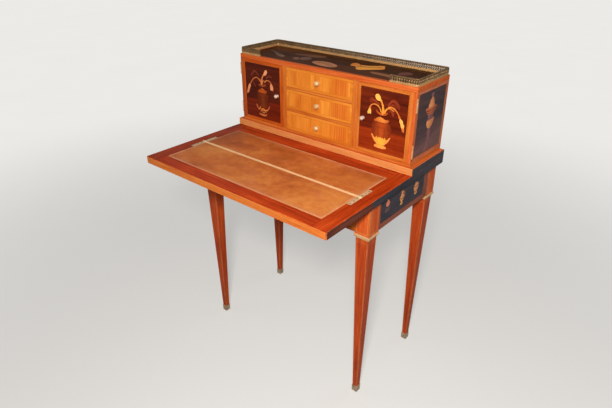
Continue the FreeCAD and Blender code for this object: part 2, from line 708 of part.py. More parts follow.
def gallery_rail(length):
    """A pierced rail that runs along +X from the origin, centred on Y, foot at Z 0."""
    plate = block(0, length, -GALLERY_PLATE / 2, GALLERY_PLATE / 2, 0, GALLERY_HEIGHT)
    bead = block(0, length, -GALLERY_BEAD / 2, GALLERY_BEAD / 2,
                 GALLERY_HEIGHT - GALLERY_BEAD_HEIGHT, GALLERY_HEIGHT)
    foot = block(0, length, -GALLERY_BEAD / 2, GALLERY_BEAD / 2, 0, GALLERY_FOOT_HEIGHT)
    count = max(1, int(length / GALLERY_PITCH))
    slots = [part for index in range(count) for part in gallery_slot(length * (index + 0.5) / count)]
    return plate.fuse([bead, foot]).removeSplitter().cut(slots)


def gallery_slot(x):
    """One round-ended opening across a gallery rail, at its place along the rail."""
    radius = GALLERY_SLOT_WIDTH / 2
    low = GALLERY_FOOT_HEIGHT + GALLERY_SLOT_MARGIN + radius
    high = GALLERY_HEIGHT - GALLERY_BEAD_HEIGHT - GALLERY_SLOT_MARGIN - radius
    ends = [rod(radius, V(x, -GALLERY_BEAD, z), V(x, GALLERY_BEAD, z)) for z in (low, high)]
    return ends + [block(x - radius, x + radius, -GALLERY_BEAD, GALLERY_BEAD, low, high)]


def gallery_band(width, low, high):
    """A quarter-round band about the origin, from +X to +Y, centred on the bend's radius."""
    outer = Part.makeCylinder(GALLERY_BEND + width / 2, high - low, V(0, 0, low), V(0, 0, 1), 90)
    inner = Part.makeCylinder(GALLERY_BEND - width / 2, high - low, V(0, 0, low), V(0, 0, 1), 90)
    return outer.cut(inner)


def gallery_bend(front):
    """The pierced quarter round at the right-hand front or rear corner."""
    plate = gallery_band(GALLERY_PLATE, 0, GALLERY_HEIGHT)
    bead = gallery_band(GALLERY_BEAD, GALLERY_HEIGHT - GALLERY_BEAD_HEIGHT, GALLERY_HEIGHT)
    foot = gallery_band(GALLERY_BEAD, 0, GALLERY_FOOT_HEIGHT)
    count = max(1, int(GALLERY_BEND * math.pi / 2 / GALLERY_PITCH))
    slots = []
    for index in range(count):
        for part in gallery_slot(0):
            part.translate(V(0, GALLERY_BEND, 0))
            part.rotate(V(0, 0, 0), V(0, 0, 1), -90 * (index + 0.5) / count)
            slots.append(part)
    bend = plate.fuse([bead, foot]).removeSplitter().cut(slots)
    bend.Placement = FreeCAD.Placement(gallery_centre(front), FreeCAD.Rotation(V(0, 0, 1), -90 if front else 0))
    return bend


def gallery_post(x, y):
    """A square post of the gallery."""
    half = GALLERY_POST / 2
    return block(x - half, x + half, y - half, y + half, CABINET_TOP_Z, CABINET_TOP_Z + GALLERY_HEIGHT,
                 WOOD_EDGE_ROUND)


def gallery_run(start, end):
    """A straight gallery rail from one point to another."""
    along = end - start
    rail = gallery_rail(along.Length)
    rail.Placement = FreeCAD.Placement(start, FreeCAD.Rotation(V(1, 0, 0), along))
    return rail


def gallery_centre(front):
    """The centre of the right-hand bend at the front or at the rear."""
    inset = GALLERY_INSET + GALLERY_BEND
    y = CABINET_FRONT + inset if front else CABINET_REAR - inset
    return V(CABINET_HALF - inset, y, CABINET_TOP_Z)


def gallery_back():
    """The rear run of the gallery and the bends at its ends."""
    right = gallery_centre(False) + V(0, GALLERY_BEND, 0)
    left = V(-right.x, right.y, right.z)
    return [gallery_run(left, right)] + pair(gallery_bend(False))


def gallery_side():
    """The right-hand run of the gallery and the bend at its front."""
    out = V(GALLERY_BEND, 0, 0)
    return [gallery_run(gallery_centre(True) + out, gallery_centre(False) + out), gallery_bend(True)]


def gallery_return():
    """The short run along the front at the right, with its end post."""
    bend = gallery_centre(True) - V(0, GALLERY_BEND, 0)
    post = V(CABINET_HALF - GALLERY_INSET - GALLERY_RETURN, bend.y, bend.z)
    face = post + V(GALLERY_POST / 2, 0, 0)
    return gallery_run(face, bend).fuse(gallery_post(post.x, post.y))


# --- nodes ---

def pair(shape):
    """A right-hand shape and its left-hand twin."""
    return [mirrored(shape), shape]


def leg_nodes():
    """The legs with their brass."""
    places = leg_places()
    nodes = {"leg_" + name: [leg(x, y)] for name, (x, y) in places.items()}
    nodes["leg_collars"] = [collar(x, y) for x, y in places.values()]
    nodes["leg_sabots"] = [sabot(x, y) for x, y in places.values()]
    return nodes


def frieze_nodes():
    """The boards between the legs, and what the drawer and the lopers run on."""
    left, right = pair(side_apron())
    return {
        "apron_left": [left],
        "apron_right": [right],
        "apron_back": [back_apron()],
        "front_rail_lower": [lower_front_rail()],
        "front_rail_upper": [upper_front_rail()],
        "front_stiles": pair(front_stile()),
        "drawer_runners": pair(drawer_runner()),
        "loper_guides": pair(loper_guide()),
    }


def writing_nodes():
    """The fixed top and the flap with their leather, brass and hinges."""
    return {
        "desk_top": [desk_top()],
        "leather_rear": [leather(1)],
        "seam_strip_rear": [seam_strip(1)],
        "flap_hinge_rear_leaves": pair(flap_hinge_rear_leaf()),
        "flap_hinge_pins": pair(flap_hinge_pin()),
        "rear_hinge_screws": [twin for item in hinge_screws(1) for twin in pair(item)],
        "plinth_board": [plinth_board()],
        "flap_board": [flap_board()],
        "leather_flap": [leather(-1)],
        "seam_strip_flap": [seam_strip(-1)],
        "flap_hinge_front_leaves": pair(flap_hinge_front_leaf()),
        "flap_hinge_screws": [twin for item in hinge_screws(-1) for twin in pair(item)],
    }


def slide_nodes():
    """The frieze drawer and the lopers."""
    nodes = {
        "frieze_drawer_front": [frieze_drawer_front()],
        "frieze_drawer_box": frieze_drawer_box(),
        "frieze_drawer_knob": [frieze_drawer_knob()],
    }
    for name, shape in (("loper_%s", loper()), ("loper_%s_knob", loper_knob())):
        left, right = pair(shape)
        nodes[name % "left"] = [left]
        nodes[name % "right"] = [right]
    return nodes


def cabinet_nodes():
    """The cabinet's case with its gallery and the fixed halves of its hinges."""
    left, right = pair(cabinet_side())
    heights = door_hinge_heights()
    return {
        "cabinet_base": [cabinet_base()],
        "cabinet_top": [cabinet_top()],
        "cabinet_side_left": [left],
        "cabinet_side_right": [right],
        "cabinet_back": [cabinet_back()],
        "cabinet_partitions": pair(partition()),
        "drawer_dividers": [drawer_divider(index) for index in range(1, DRAWER_COUNT)],
        "gallery_back": gallery_back(),
        "gallery_sides": [twin for shape in gallery_side() for twin in pair(shape)],
        "gallery_front_returns": pair(gallery_return()),
        "door_hinge_frame_leaves": [twin for z in heights for twin in pair(door_hinge_frame_leaf(z))],
        "door_hinge_pins": [twin for z in heights for twin in pair(door_hinge_pin(z))],
    }


def small_drawer_nodes():
    """Each small drawer's front, box and knob, numbered from the lowest."""
    nodes = {}
    for index in range(DRAWER_COUNT):
        name = "small_drawer_%d" % (index + 1)
        nodes[name + "_front"] = [small_drawer_front(index)]
        nodes[name + "_box"] = small_drawer_box(index)
        nodes[name + "_knob"] = [small_drawer_knob(index)]
    return nodes


def door_nodes():
    """Both doors with their knobs and hinge leaves."""
    nodes = {}
    leaves = [door_hinge_door_leaf(z) for z in door_hinge_heights()]
    for name, turn in (("door_left", mirrored), ("door_right", lambda shape: shape)):
        nodes[name + "_leaf"] = [turn(door_leaf())]
        nodes[name + "_knob"] = [turn(door_knob())]
        nodes[name + "_hinge_leaves"] = [turn(leaf) for leaf in leaves]
    return nodes


def export(nodes):
    """Write each node's solids to a STEP file of its own."""
    os.makedirs("parts", exist_ok=True)
    for name, shapes in nodes.items():
        solids = [solid for shape in shapes for solid in shape.Solids]
        node = solids[0] if len(solids) == 1 else Part.makeCompound(solids)
        node.exportStep("parts/" + name + ".step")
        print(name, len(solids), "solids", round(sum(solid.Volume for solid in solids)), "mm3")


def main():
    """Build every node of the desk and export it."""
    nodes = {}
    for group in (leg_nodes, frieze_nodes, writing_nodes, slide_nodes, cabinet_nodes,
                  small_drawer_nodes, door_nodes):
        nodes.update(group())
    export(nodes)


main()
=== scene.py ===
"""Finishes and marquetry of a bonheur du jour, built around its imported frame.

The desk stands on four strung legs, its writing flap lies open on the fixed top, and a cabinet of
three drawers between two cupboards stands at the back. Everything is in metres in the frame's axes:
+X to the sitter's right, +Y to the back, +Z up. Only the outlines of the marquetry are in millimetres.
"""

import logging
import math
from dataclasses import dataclass, field
from enum import Enum
from typing import Optional, Union

import bpy
from mathutils import Matrix, Vector


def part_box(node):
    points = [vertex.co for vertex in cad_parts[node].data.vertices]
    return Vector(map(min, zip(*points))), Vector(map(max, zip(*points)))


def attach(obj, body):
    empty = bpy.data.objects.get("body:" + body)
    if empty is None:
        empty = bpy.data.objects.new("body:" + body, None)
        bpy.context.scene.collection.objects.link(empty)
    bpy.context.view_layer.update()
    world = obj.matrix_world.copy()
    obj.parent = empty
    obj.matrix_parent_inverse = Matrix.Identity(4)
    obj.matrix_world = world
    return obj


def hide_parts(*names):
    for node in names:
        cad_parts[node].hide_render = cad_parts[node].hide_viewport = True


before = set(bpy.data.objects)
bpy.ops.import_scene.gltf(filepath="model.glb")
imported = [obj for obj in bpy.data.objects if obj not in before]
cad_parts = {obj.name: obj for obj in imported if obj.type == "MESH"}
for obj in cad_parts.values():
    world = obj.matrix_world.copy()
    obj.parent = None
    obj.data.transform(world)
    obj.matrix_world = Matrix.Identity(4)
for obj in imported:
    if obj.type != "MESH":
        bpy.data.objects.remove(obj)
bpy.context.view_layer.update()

LOG = logging.getLogger("bonheur_du_jour")
MM = 0.001

Colour = tuple[float, float, float]
Place = tuple[float, float, float]
Point = tuple[float, float]
Outline = list[Point]
Number = Union[float, "Value"]
Tint = Union[Colour, "Value"]


def tone(red: float, green: float, blue: float) -> Colour:
    """Turns a paint chart's red, green and blue into the linear colour that a shader takes.

    Args:
        red: The red part, 0 to 255.
        green: The green part, 0 to 255.
        blue: The blue part, 0 to 255.

    Returns:
        The linear colour.
    """

    def linear(part: float) -> float:
        """Returns one part of the colour, made linear."""
        share = part / 255
        return share / 12.92 if share <= 0.04045 else ((share + 0.055) / 1.055) ** 2.4

    return linear(red), linear(green), linear(blue)


class Axis(Enum):
    """An axis of the frame, and its place in a vector."""

    X = 0
    Y = 1
    Z = 2


class Value:
    """One output of a shader node, on which Python's operators add Math nodes."""

    def __init__(self, shader: "Shader", socket: bpy.types.NodeSocket) -> None:
        """Keeps the shader and its socket."""
        self.shader = shader
        self.socket = socket

    def calc(self, operation: str, *others: Number) -> "Value":
        """Adds one Math node on this value and others."""
        return self.shader.calc(operation, self, *others)

    def __add__(self, other: Number) -> "Value":
        """Returns self + other."""
        return self.calc("ADD", other)

    __radd__ = __add__

    def __sub__(self, other: Number) -> "Value":
        """Returns self - other."""
        return self.calc("SUBTRACT", other)

    def __rsub__(self, other: Number) -> "Value":
        """Returns other - self."""
        return self.shader.calc("SUBTRACT", other, self)

    def __mul__(self, other: Number) -> "Value":
        """Returns self * other."""
        return self.calc("MULTIPLY", other)

    __rmul__ = __mul__

    def __truediv__(self, other: Number) -> "Value":
        """Returns self / other."""
        return self.calc("DIVIDE", other)

    def __abs__(self) -> "Value":
        """Returns the value without its sign."""
        return self.calc("ABSOLUTE")

    def least(self, other: Number) -> "Value":
        """Returns the smaller of two values."""
        return self.calc("MINIMUM", other)

    def most(self, other: Number) -> "Value":
        """Returns the larger of two values."""
        return self.calc("MAXIMUM", other)

    def rise(self, low: float, high: float) -> "Value":
        """Goes smoothly from 0 at low to 1 at high; with high under low it falls.

        Args:
            low: Where the result is 0.
            high: Where the result is 1.

        Returns:
            The eased value.
        """
        settings = {"interpolation_type": "SMOOTHSTEP", "clamp": True}
        inputs = {"Value": self, "From Min": low, "From Max": high}
        if high < low:
            inputs |= {"From Min": high, "From Max": low, "To Min": 1.0, "To Max": 0.0}
        return self.shader.node("ShaderNodeMapRange", "Result", settings, inputs)

    def within(self, low: float, high: float, soft: float) -> "Value":
        """Is 1 between low and high and 0 outside them, over an edge of the width soft."""
        return self.rise(low - soft / 2, low + soft / 2) * self.rise(high + soft / 2, high - soft / 2)


class Shader:
    """A material's node tree, and the few calls that fill it."""

    # A Mix node's sockets for colours go by number, because several of them share a name.
    MIX_SHARE, MIX_UNDER, MIX_OVER, MIX_RESULT = 0, 6, 7, 2

    def __init__(self, name: str) -> None:
        """Starts an empty tree.

        Args:
            name: The material's name.
        """
        self.material = bpy.data.materials.new(name)
        self.material.use_nodes = True
        self.tree = self.material.node_tree
        self.tree.nodes.clear()
        self.place = self.node("ShaderNodeTexCoord", "Object")

    def node(
        self,
        kind: str,
        output: Union[str, int, None],
        settings: Optional[dict[str, object]] = None,
        inputs: Optional[dict[Union[str, int], object]] = None,
    ) -> Optional[Value]:
        """Adds a node, sets it up and links it.

        Args:
            kind: The node's type.
            output: The output socket to return, by name or number, or None.
            settings: The node's own settings; "stops" are a ramp's stops.
            inputs: A number, colour, vector or Value for each socket, by name or number.

        Returns:
            The output's value, or None for a node without one.
        """
        made = self.tree.nodes.new(kind)
        for key, setting in (settings or {}).items():
            if key == "stops":
                stops = made.color_ramp.elements
                while len(stops) < len(setting):
                    stops.new(0.5)
                for stop, (position, colour) in zip(stops, setting):
                    stop.position = position
                    stop.color = (*colour, 1.0)
            else:
                setattr(made, key, setting)
        for key, value in (inputs or {}).items():
            socket = made.inputs[key]
            if isinstance(value, Value):
                self.tree.links.new(value.socket, socket)
            elif socket.type == "RGBA":
                socket.default_value = (*value, 1.0)
            else:
                socket.default_value = value
        return None if output is None else Value(self, made.outputs[output])

    def calc(self, operation: str, *values: Number) -> Value:
        """Adds one Math node."""
        return self.node("ShaderNodeMath", 0, {"operation": operation}, dict(enumerate(values)))

    def axis(self, axis: Axis) -> Value:
        """Returns the place along one axis, in metres."""
        return self.node("ShaderNodeSeparateXYZ", axis.value, inputs={0: self.place})

    def scaled(self, scale: Place, shift: float = 0.0) -> Value:
        """Shifts the place and then scales it.

        Args:
            scale: The scale along each axis.
            shift: How far it moves along X; along Y it moves a little less, and along Z a little more.

        Returns:
            The scaled place, as a vector.
        """
        way = (shift, shift * 0.7, shift * 1.3)
        moved = self.node("ShaderNodeVectorMath", 0, {"operation": "ADD"}, {0: self.place, 1: way})
        return self.node("ShaderNodeVectorMath", 0, {"operation": "MULTIPLY"}, {0: moved, 1: scale})

    def noise(self, vector: Value, detail: float = 4.0, roughness: float = 0.55, bend: float = 0.0) -> Value:
        """Returns a cloudy pattern from 0 to 1.

        Args:
            vector: Where to read it, with one unit to a cloud.
            detail: How many finer layers it has.
            roughness: How strong the finer layers are.
            bend: How far the pattern is stirred.

        Returns:
            The pattern.
        """
        inputs = {
            "Vector": vector,
            "Scale": 1.0,
            "Detail": detail,
            "Roughness": roughness,
            "Distortion": bend,
        }
        return self.node("ShaderNodeTexNoise", 0, inputs=inputs)

    def cloud(self, count: float, detail: float, roughness: float = 0.55, shift: float = 0.0) -> Value:
        """Returns an even cloudy pattern, with so many clouds to a metre."""
        return self.noise(self.scaled((count, count, count), shift), detail, roughness)

    def ramp(self, value: Value, *stops: tuple[float, Colour]) -> Value:
        """Turns a number into a colour."""
        return self.node("ShaderNodeValToRGB", "Color", {"stops": stops}, {0: value})

    def mix(self, share: Number, under: Tint, over: Tint, kind: str = "MIX") -> Value:
        """Lays one colour over another.

        Args:
            share: How much of the upper colour shows, 0 to 1.
            under: The lower colour.
            over: The upper colour.
            kind: How they blend.

        Returns:
            The blended colour.
        """
        settings = {"data_type": "RGBA", "blend_type": kind}
        inputs = {self.MIX_SHARE: share, self.MIX_UNDER: under, self.MIX_OVER: over}
        return self.node("ShaderNodeMix", self.MIX_RESULT, settings, inputs)

    def wood(self, wood: "Wood", along: Axis, shift: float = 0.0) -> tuple[Value, Value]:
        """Draws a wood's grain.

        Args:
            wood: Which wood.
            along: The axis that the grain follows.
            shift: A shift that gives another sheet of the same wood.

        Returns:
            The colour, and the height of the grain from 0 to 1.
        """

        def drawn_out(across: float, length: float, moved: float = 0.0) -> Value:
            """Returns the place, scaled so that clouds are drawn out along the grain."""
            return self.scaled(tuple(length if axis is along else across for axis in Axis), shift + moved)

        streaks = drawn_out(wood.fine, wood.fine / wood.draw)
        clouds = drawn_out(wood.fine / 7, wood.fine / 40, 3.0)
        holes = drawn_out(wood.fine * 8, wood.fine / 3, 5.0)
        streak = self.noise(streaks, detail=5.0, roughness=0.62, bend=0.4)
        cloud = self.noise(clouds, detail=3.0, roughness=0.5, bend=0.8)
        pore = self.noise(holes, detail=2.0, roughness=0.5)
        blend = streak * (1 - wood.cloud) + cloud * wood.cloud
        colour = self.ramp(blend, (0.34, wood.dark), (0.5, wood.middle), (0.66, wood.light))
        open_pore = pore.rise(0.56, 0.72)
        colour = self.mix(open_pore * wood.pores, colour, wood.dark, "MULTIPLY")
        return colour, streak * 0.5 + (1 - open_pore) * 0.5

    def polish(
        self,
        colour: Value,
        relief: Value,
        roughness: Number,
        depth: float = 0.00015,
        coat: float = 0.03,
        metal: float = 0.0,
        specular: float = 0.1,
    ) -> None:
        """Finishes the material with one glossy or dull surface.

        Args:
            colour: The surface's colour.
            relief: Its height, 0 to 1.
            roughness: How dull it is, 0 to 1.
            depth: The height in metres that relief 1 stands for.
            coat: The strength of the clear polish.
            metal: 1 for bare metal.
            specular: The strength of its own shine.
        """
        bump = {"Strength": 0.5, "Distance": depth, "Height": relief}
        inputs = {
            "Base Color": colour,
            "Roughness": roughness,
            "Metallic": metal,
            "Specular IOR Level": specular,
            "Coat Weight": coat,
            "Coat Roughness": 0.22,
            "Normal": self.node("ShaderNodeBump", "Normal", inputs=bump),
        }
        surface = self.node("ShaderNodeBsdfPrincipled", "BSDF", inputs=inputs)
        self.node("ShaderNodeOutputMaterial", None, inputs={"Surface": surface})


@dataclass(frozen=True)
class Wood:
    """A wood's three colours and the measure of its grain.

    Fine is the number of streaks to a metre, draw how long they are to their width, cloud the share of the
    broad clouds in the figure, and pores the strength of the open pores.
    """

    dark: Colour
    middle: Colour
    light: Colour
    fine: float = 170.0
    draw: float = 26.0
    cloud: float = 0.4
    pores: float = 0.5


MAHOGANY = Wood(tone(128, 34, 6), tone(178, 56, 13), tone(214, 84, 26))
RED_MAHOGANY = Wood(tone(150, 44, 12), tone(190, 62, 18), tone(222, 88, 28))
LEG_MAHOGANY = Wood(tone(146, 50, 18), tone(186, 70, 26), tone(212, 92, 38))
BLOCK_MAHOGANY = Wood(tone(180, 68, 24), tone(212, 90, 34), tone(230, 112, 48))
TULIPWOOD = Wood(tone(182, 86, 28), tone(202, 108, 40), tone(220, 132, 56), fine=220.0)
ORANGE_RAIL = Wood(tone(184, 78, 30), tone(208, 98, 44), tone(224, 118, 56), fine=220.0)
SALMON_WOOD = Wood(
    tone(202, 118, 60), tone(218, 138, 76), tone(228, 152, 88), fine=260.0, cloud=0.15, pores=0.15
)
EDGE_WOOD = Wood(
    tone(202, 100, 38), tone(218, 118, 48), tone(230, 136, 60), fine=260.0, cloud=0.15, pores=0.15
)
PINK_WOOD = Wood(tone(118, 58, 44), tone(148, 80, 60), tone(176, 108, 84), fine=220.0)
SATINWOOD = Wood(
    tone(200, 106, 28), tone(222, 130, 42), tone(238, 154, 58), fine=150.0, cloud=0.6, pores=0.25
)
FLUTE_WOOD = Wood(tone(180, 76, 24), tone(204, 94, 34), tone(220, 112, 42), fine=150.0, pores=0.25)
BOXWOOD = Wood(tone(218, 150, 92), tone(236, 172, 112), tone(248, 196, 140), fine=260.0, pores=0.1)
DARK_ROSEWOOD = Wood(tone(64, 14, 8), tone(98, 30, 12), tone(126, 44, 16), fine=120.0, cloud=0.55)
RED_ROSEWOOD = Wood(tone(108, 28, 8), tone(140, 44, 13), tone(164, 58, 18), fine=120.0, cloud=0.55)
# Darker copies of the door woods for the left door's field, as painted shade.
SHADED_ROSEWOOD = Wood(tone(50, 14, 8), tone(80, 26, 13), tone(104, 38, 16), fine=120.0, cloud=0.55)
SHADED_RED_ROSEWOOD = Wood(tone(76, 18, 6), tone(104, 30, 10), tone(126, 40, 14), fine=120.0, cloud=0.55)
EBONISED = Wood(tone(34, 34, 44), tone(54, 54, 62), tone(78, 68, 74), fine=120.0, cloud=0.6)
SMOKED_ROSEWOOD = Wood(tone(40, 36, 44), tone(68, 53, 56), tone(98, 70, 64), fine=100.0, cloud=0.7)
# A lighter wood that paints a sheen on the lower part of the cabinet sides' fields.
SHEEN_ROSEWOOD = Wood(tone(78, 52, 56), tone(106, 74, 74), tone(132, 94, 86), fine=100.0, cloud=0.7)
BROWN_EBONISED = Wood(tone(50, 20, 4), tone(84, 40, 10), tone(116, 62, 20), fine=90.0, cloud=0.65)
ROSE_TULIPWOOD = Wood(tone(160, 80, 50), tone(196, 106, 66), tone(216, 132, 88), fine=220.0)
SMOKED_MAHOGANY = Wood(tone(64, 26, 20), tone(94, 46, 32), tone(120, 60, 42))
# The left door's frame and outer band, darker as painted shade.
SHADED_AMBER_WOOD = Wood(tone(164, 66, 16), tone(194, 86, 24), tone(218, 110, 38), fine=220.0)
SHADED_RAIL = Wood(tone(138, 62, 28), tone(166, 82, 42), tone(188, 102, 56), fine=220.0)
OAK = Wood(tone(150, 104, 62), tone(182, 134, 86), tone(206, 160, 110), fine=200.0, pores=0.8)


class Finish:
    """A finish that is mixed once and given to every part that wears it."""

    name: str

    def paint(self, shader: Shader) -> None:
        """Fills the material's tree."""
        raise NotImplementedError

    def material(self) -> bpy.types.Material:
        """Mixes the finish on first use.

        Returns:
            Its material.
        """
        found = bpy.data.materials.get(self.name)
        if found is not None:
            return found
        shader = Shader(self.name)
        self.paint(shader)
        return shader.material

    def dress(self, *nodes: str) -> None:
        """Gives the finish to CAD nodes, in their own material slots.

        Args:
            nodes: The names of the nodes.
        """
        for node in nodes:
            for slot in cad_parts[node].material_slots:
                slot.material = self.material()


@dataclass(frozen=True)
class PlainVeneer(Finish):
    """One sheet of wood over the whole part."""

    name: str
    wood: Wood
    along: Axis
    roughness: float = 0.42
    coat: float = 0.03

    def paint(self, shader: Shader) -> None:
        """Draws the grain and its polish.

        Args:
            shader: The material's tree.
        """
        colour, relief = shader.wood(self.wood, self.along)
        dulled = shader.cloud(14.0, 3.0) * 0.16 + (self.roughness - 0.08)
        shader.polish(colour, relief, dulled, coat=self.coat)


@dataclass(frozen=True)
class LegVeneer(Finish):
    """Upright mahogany with a light line beside each arris and a strung panel on the square block."""

    name: str
    centre: Point
    spread: float
    block_bottom: float
    block_top: float
    block_band: float = 5.4 * MM
    block_line: Point = (5.5 * MM, 7.0 * MM)
    leg_gap: float = 24.0 * MM
    leg_band: float = 2.0 * MM
    leg_line: Point = (2.0 * MM, 3.2 * MM)
    joint: float = 0.3 * MM
    soft: float = 0.5 * MM
    # Pale colour for wear and a painted highlight on the arrises.
    rubbed_and_highlit: Colour = tone(240, 190, 140)

    def paint(self, shader: Shader) -> None:
        """Measures each face from its arris, which holds on the taper too.

        Args:
            shader: The material's tree.
        """
        across = abs(abs(shader.axis(Axis.X)) - self.centre[0])
        deep = abs(abs(shader.axis(Axis.Y) - self.centre[1]) - self.spread)
        height = shader.axis(Axis.Z)
        inward = across.most(deep) - across.least(deep)
        colour, relief = shader.wood(LEG_MAHOGANY, Axis.Z)
        block_colour, _ = shader.wood(BLOCK_MAHOGANY, Axis.Z, 1.0)
        band, band_relief = shader.wood(TULIPWOOD, Axis.Z, 2.0)
        line, _ = shader.wood(BOXWOOD, Axis.Z, 4.0)
        on_block = height.rise(self.block_bottom - self.soft, self.block_bottom + self.soft)
        ends = (height - self.block_bottom).least(self.block_top - height)
        block_inward = inward.least(ends)
        block_line = block_inward.within(*self.block_line, self.soft)
        block_band = block_inward.rise(self.block_band + self.joint, self.block_band - self.joint)
        leg_inward = inward.least((self.block_bottom - self.leg_gap) - height)
        leg_line = leg_inward.within(*self.leg_line, self.soft)
        leg_band = leg_inward.rise(self.leg_band + self.joint, self.leg_band - self.joint)
        band_share = on_block * block_band + (1 - on_block) * leg_band
        line_share = on_block * block_line + (1 - on_block) * leg_line
        colour = shader.mix(on_block, colour, block_colour)
        colour = shader.mix(band_share * (on_block * 0.2 + 0.2), colour, band)
        colour = shader.mix(line_share * (on_block * 0.2 + 0.28), colour, line)
        # Pale patches along the arrises: wear, and a painted highlight on the sharp edges.
        patches = shader.noise(shader.scaled((90.0, 90.0, 40.0)), 3.0).rise(0.4, 0.65)
        worn_and_highlit = inward.rise(0.9 * MM, 0.0) * patches
        colour = shader.mix(worn_and_highlit * 0.55, colour, self.rubbed_and_highlit)
        shader.polish(colour, relief + band_relief * 0.2, 0.44 - worn_and_highlit * 0.1, coat=0.1)


@dataclass(frozen=True)
class BoardVeneer(Finish):
    """A board with its grain along the long sides and across the ends, and each edge in its own wood."""

    name: str
    half_width: float
    mitre: float
    front: float
    rear: float
    wood: Wood = MAHOGANY
    edge: Wood = EDGE_WOOD
    end: Wood = EBONISED
    # How strong the painted shade on the left end is.
    left_shade: float = 0.35
    joint: float = 0.3 * MM
    # Painted shade on the left end.
    left_shade_colour: Colour = tone(84, 24, 8)
    glue: Colour = tone(70, 22, 8)
    # Pale colour for wear and a painted highlight on the arrises.
    rubbed_and_highlit: Colour = tone(246, 170, 110)

    def paint(self, shader: Shader) -> None:
        """Crosses the grain at the ends, the left one darker with painted shade, and dresses the four edges,
        whose arrises show wear and a painted highlight.

        Args:
            shader: The material's tree.
        """
        side = abs(shader.axis(Axis.X))
        deep = shader.axis(Axis.Y)
        long_colour, long_relief = shader.wood(self.wood, Axis.X)
        end_colour, end_relief = shader.wood(self.wood, Axis.Y, 3.0)
        at_end = side.rise(self.mitre - self.joint, self.mitre + self.joint)
        joint = abs(side - self.mitre).rise(0.5 * MM, 0.1 * MM)
        colour = shader.mix(at_end, long_colour, end_colour)
        # Painted shade: the left end is darkened.
        shaded_left_end = at_end * shader.axis(Axis.X).rise(0.1, -0.1)
        colour = shader.mix(shaded_left_end * self.left_shade, colour, self.left_shade_colour)
        colour = shader.mix(joint * 0.5, colour, self.glue)
        relief = long_relief * (1 - at_end) + end_relief * at_end - joint
        from_front = deep - self.front
        from_rear = self.rear - deep
        long_edge = from_front.least(from_rear).rise(0.5 * MM, 0.2 * MM)
        edge_colour, _ = shader.wood(self.edge, Axis.X, 6.0)
        colour = shader.mix(long_edge, colour, edge_colour)
        end_edge = side.rise(self.half_width - 0.5 * MM, self.half_width - 0.2 * MM)
        dark_colour, _ = shader.wood(self.end, Axis.Y, 8.0)
        colour = shader.mix(end_edge, colour, dark_colour)
        # Pale patches along the arrises: wear, and a painted highlight on the sharp edges.
        arris = from_front.least(from_rear).least(self.half_width - side)
        worn_and_highlit = arris.rise(2.2 * MM, 0.4 * MM) * shader.cloud(60.0, 3.0).rise(0.42, 0.7)
        colour = shader.mix(worn_and_highlit * (1 - end_edge) * (1 - long_edge * 0.8) * 0.4, colour, self.rubbed_and_highlit)
        shader.polish(colour, relief, shader.cloud(9.0, 4.0) * 0.2 + 0.3)


@dataclass(frozen=True)
class PanelVeneer(Finish):
    """A framed panel: light banding around a darker field, with a fine line where they meet.

    The field's four edges are places in the frame. The lower wood fills the field up to the height called
    ground: on a door it is the picture's ground, on a cabinet side a painted sheen. The outer wood bands
    the face beyond the distance called outer from the middle. What isn't the face at plane is in the base
    wood.
    """

    name: str
    across: Axis
    out: Axis
    plane: float
    left: float
    right: float
    bottom: float
    top: float
    frame_wood: Wood
    field_wood: Wood
    # The lower wood: a door picture's ground, and on a cabinet side a painted sheen.
    lower_wood: Optional[Wood] = None
    ground: float = 0.0
    lower_blend: float = 1.5 * MM
    line: Colour = tone(60, 20, 10)
    up: Axis = Axis.Z
    base_wood: Optional[Wood] = None
    shine: float = 1.0
    outer_wood: Optional[Wood] = None
    outer: float = 0.0
    outer_blend: float = 1.5 * MM
    joint: float = 0.3 * MM
    mitre_joint: float = 0.2 * MM

    def paint(self, shader: Shader) -> None:
        """Sets the field in its banding on the one face that shows it.

        Args:
            shader: The material's tree.
        """
        u = shader.axis(self.across)
        v = shader.axis(self.up)
        frame_colour, frame_relief = shader.wood(self.frame_wood, self.up)
        rail_colour, _ = shader.wood(self.frame_wood, self.across, 3.0)
        field_colour, field_relief = shader.wood(self.field_wood, self.across, 6.0)
        # The lower part of the field: a door picture's ground, and on a cabinet side a painted sheen.
        if self.lower_wood is not None:
            lower_colour, _ = shader.wood(self.lower_wood, self.across, 9.0)
            below = v.rise(self.ground + self.lower_blend, self.ground - self.lower_blend)
            field_colour = shader.mix(below, field_colour, lower_colour)
        sideways = (u - self.left).least(self.right - u)
        upright = (v - self.bottom).least(self.top - v)
        inward = sideways.least(upright)
        mitre = (sideways - upright).rise(-self.mitre_joint, self.mitre_joint)
        colour = shader.mix(mitre, frame_colour, rail_colour)
        if self.outer_wood is not None:
            outer_colour, _ = shader.wood(self.outer_wood, self.up, 14.0)
            beyond = abs(u).rise(self.outer - self.outer_blend, self.outer + self.outer_blend)
            colour = shader.mix(beyond, colour, outer_colour)
        inside = inward.rise(-self.joint, self.joint)
        shown = abs(shader.axis(self.out) - self.plane).rise(0.6 * MM, 0.3 * MM)
        colour = shader.mix(inside, colour, field_colour)
        colour = shader.mix(inward.within(-1.0 * MM, 0.2 * MM, 0.4 * MM) * 0.7, colour, self.line)
        base_colour = frame_colour
        if self.base_wood is not None:
            base_colour, _ = shader.wood(self.base_wood, self.across, 12.0)
        colour = shader.mix(shown, base_colour, colour)
        relief = field_relief * inside * shown + frame_relief * (1 - inside * shown)
        dulled = shader.cloud(14.0, 3.0) * 0.2 + 0.32
        shader.polish(colour, relief, dulled, coat=0.03 * self.shine, specular=0.1 * self.shine)


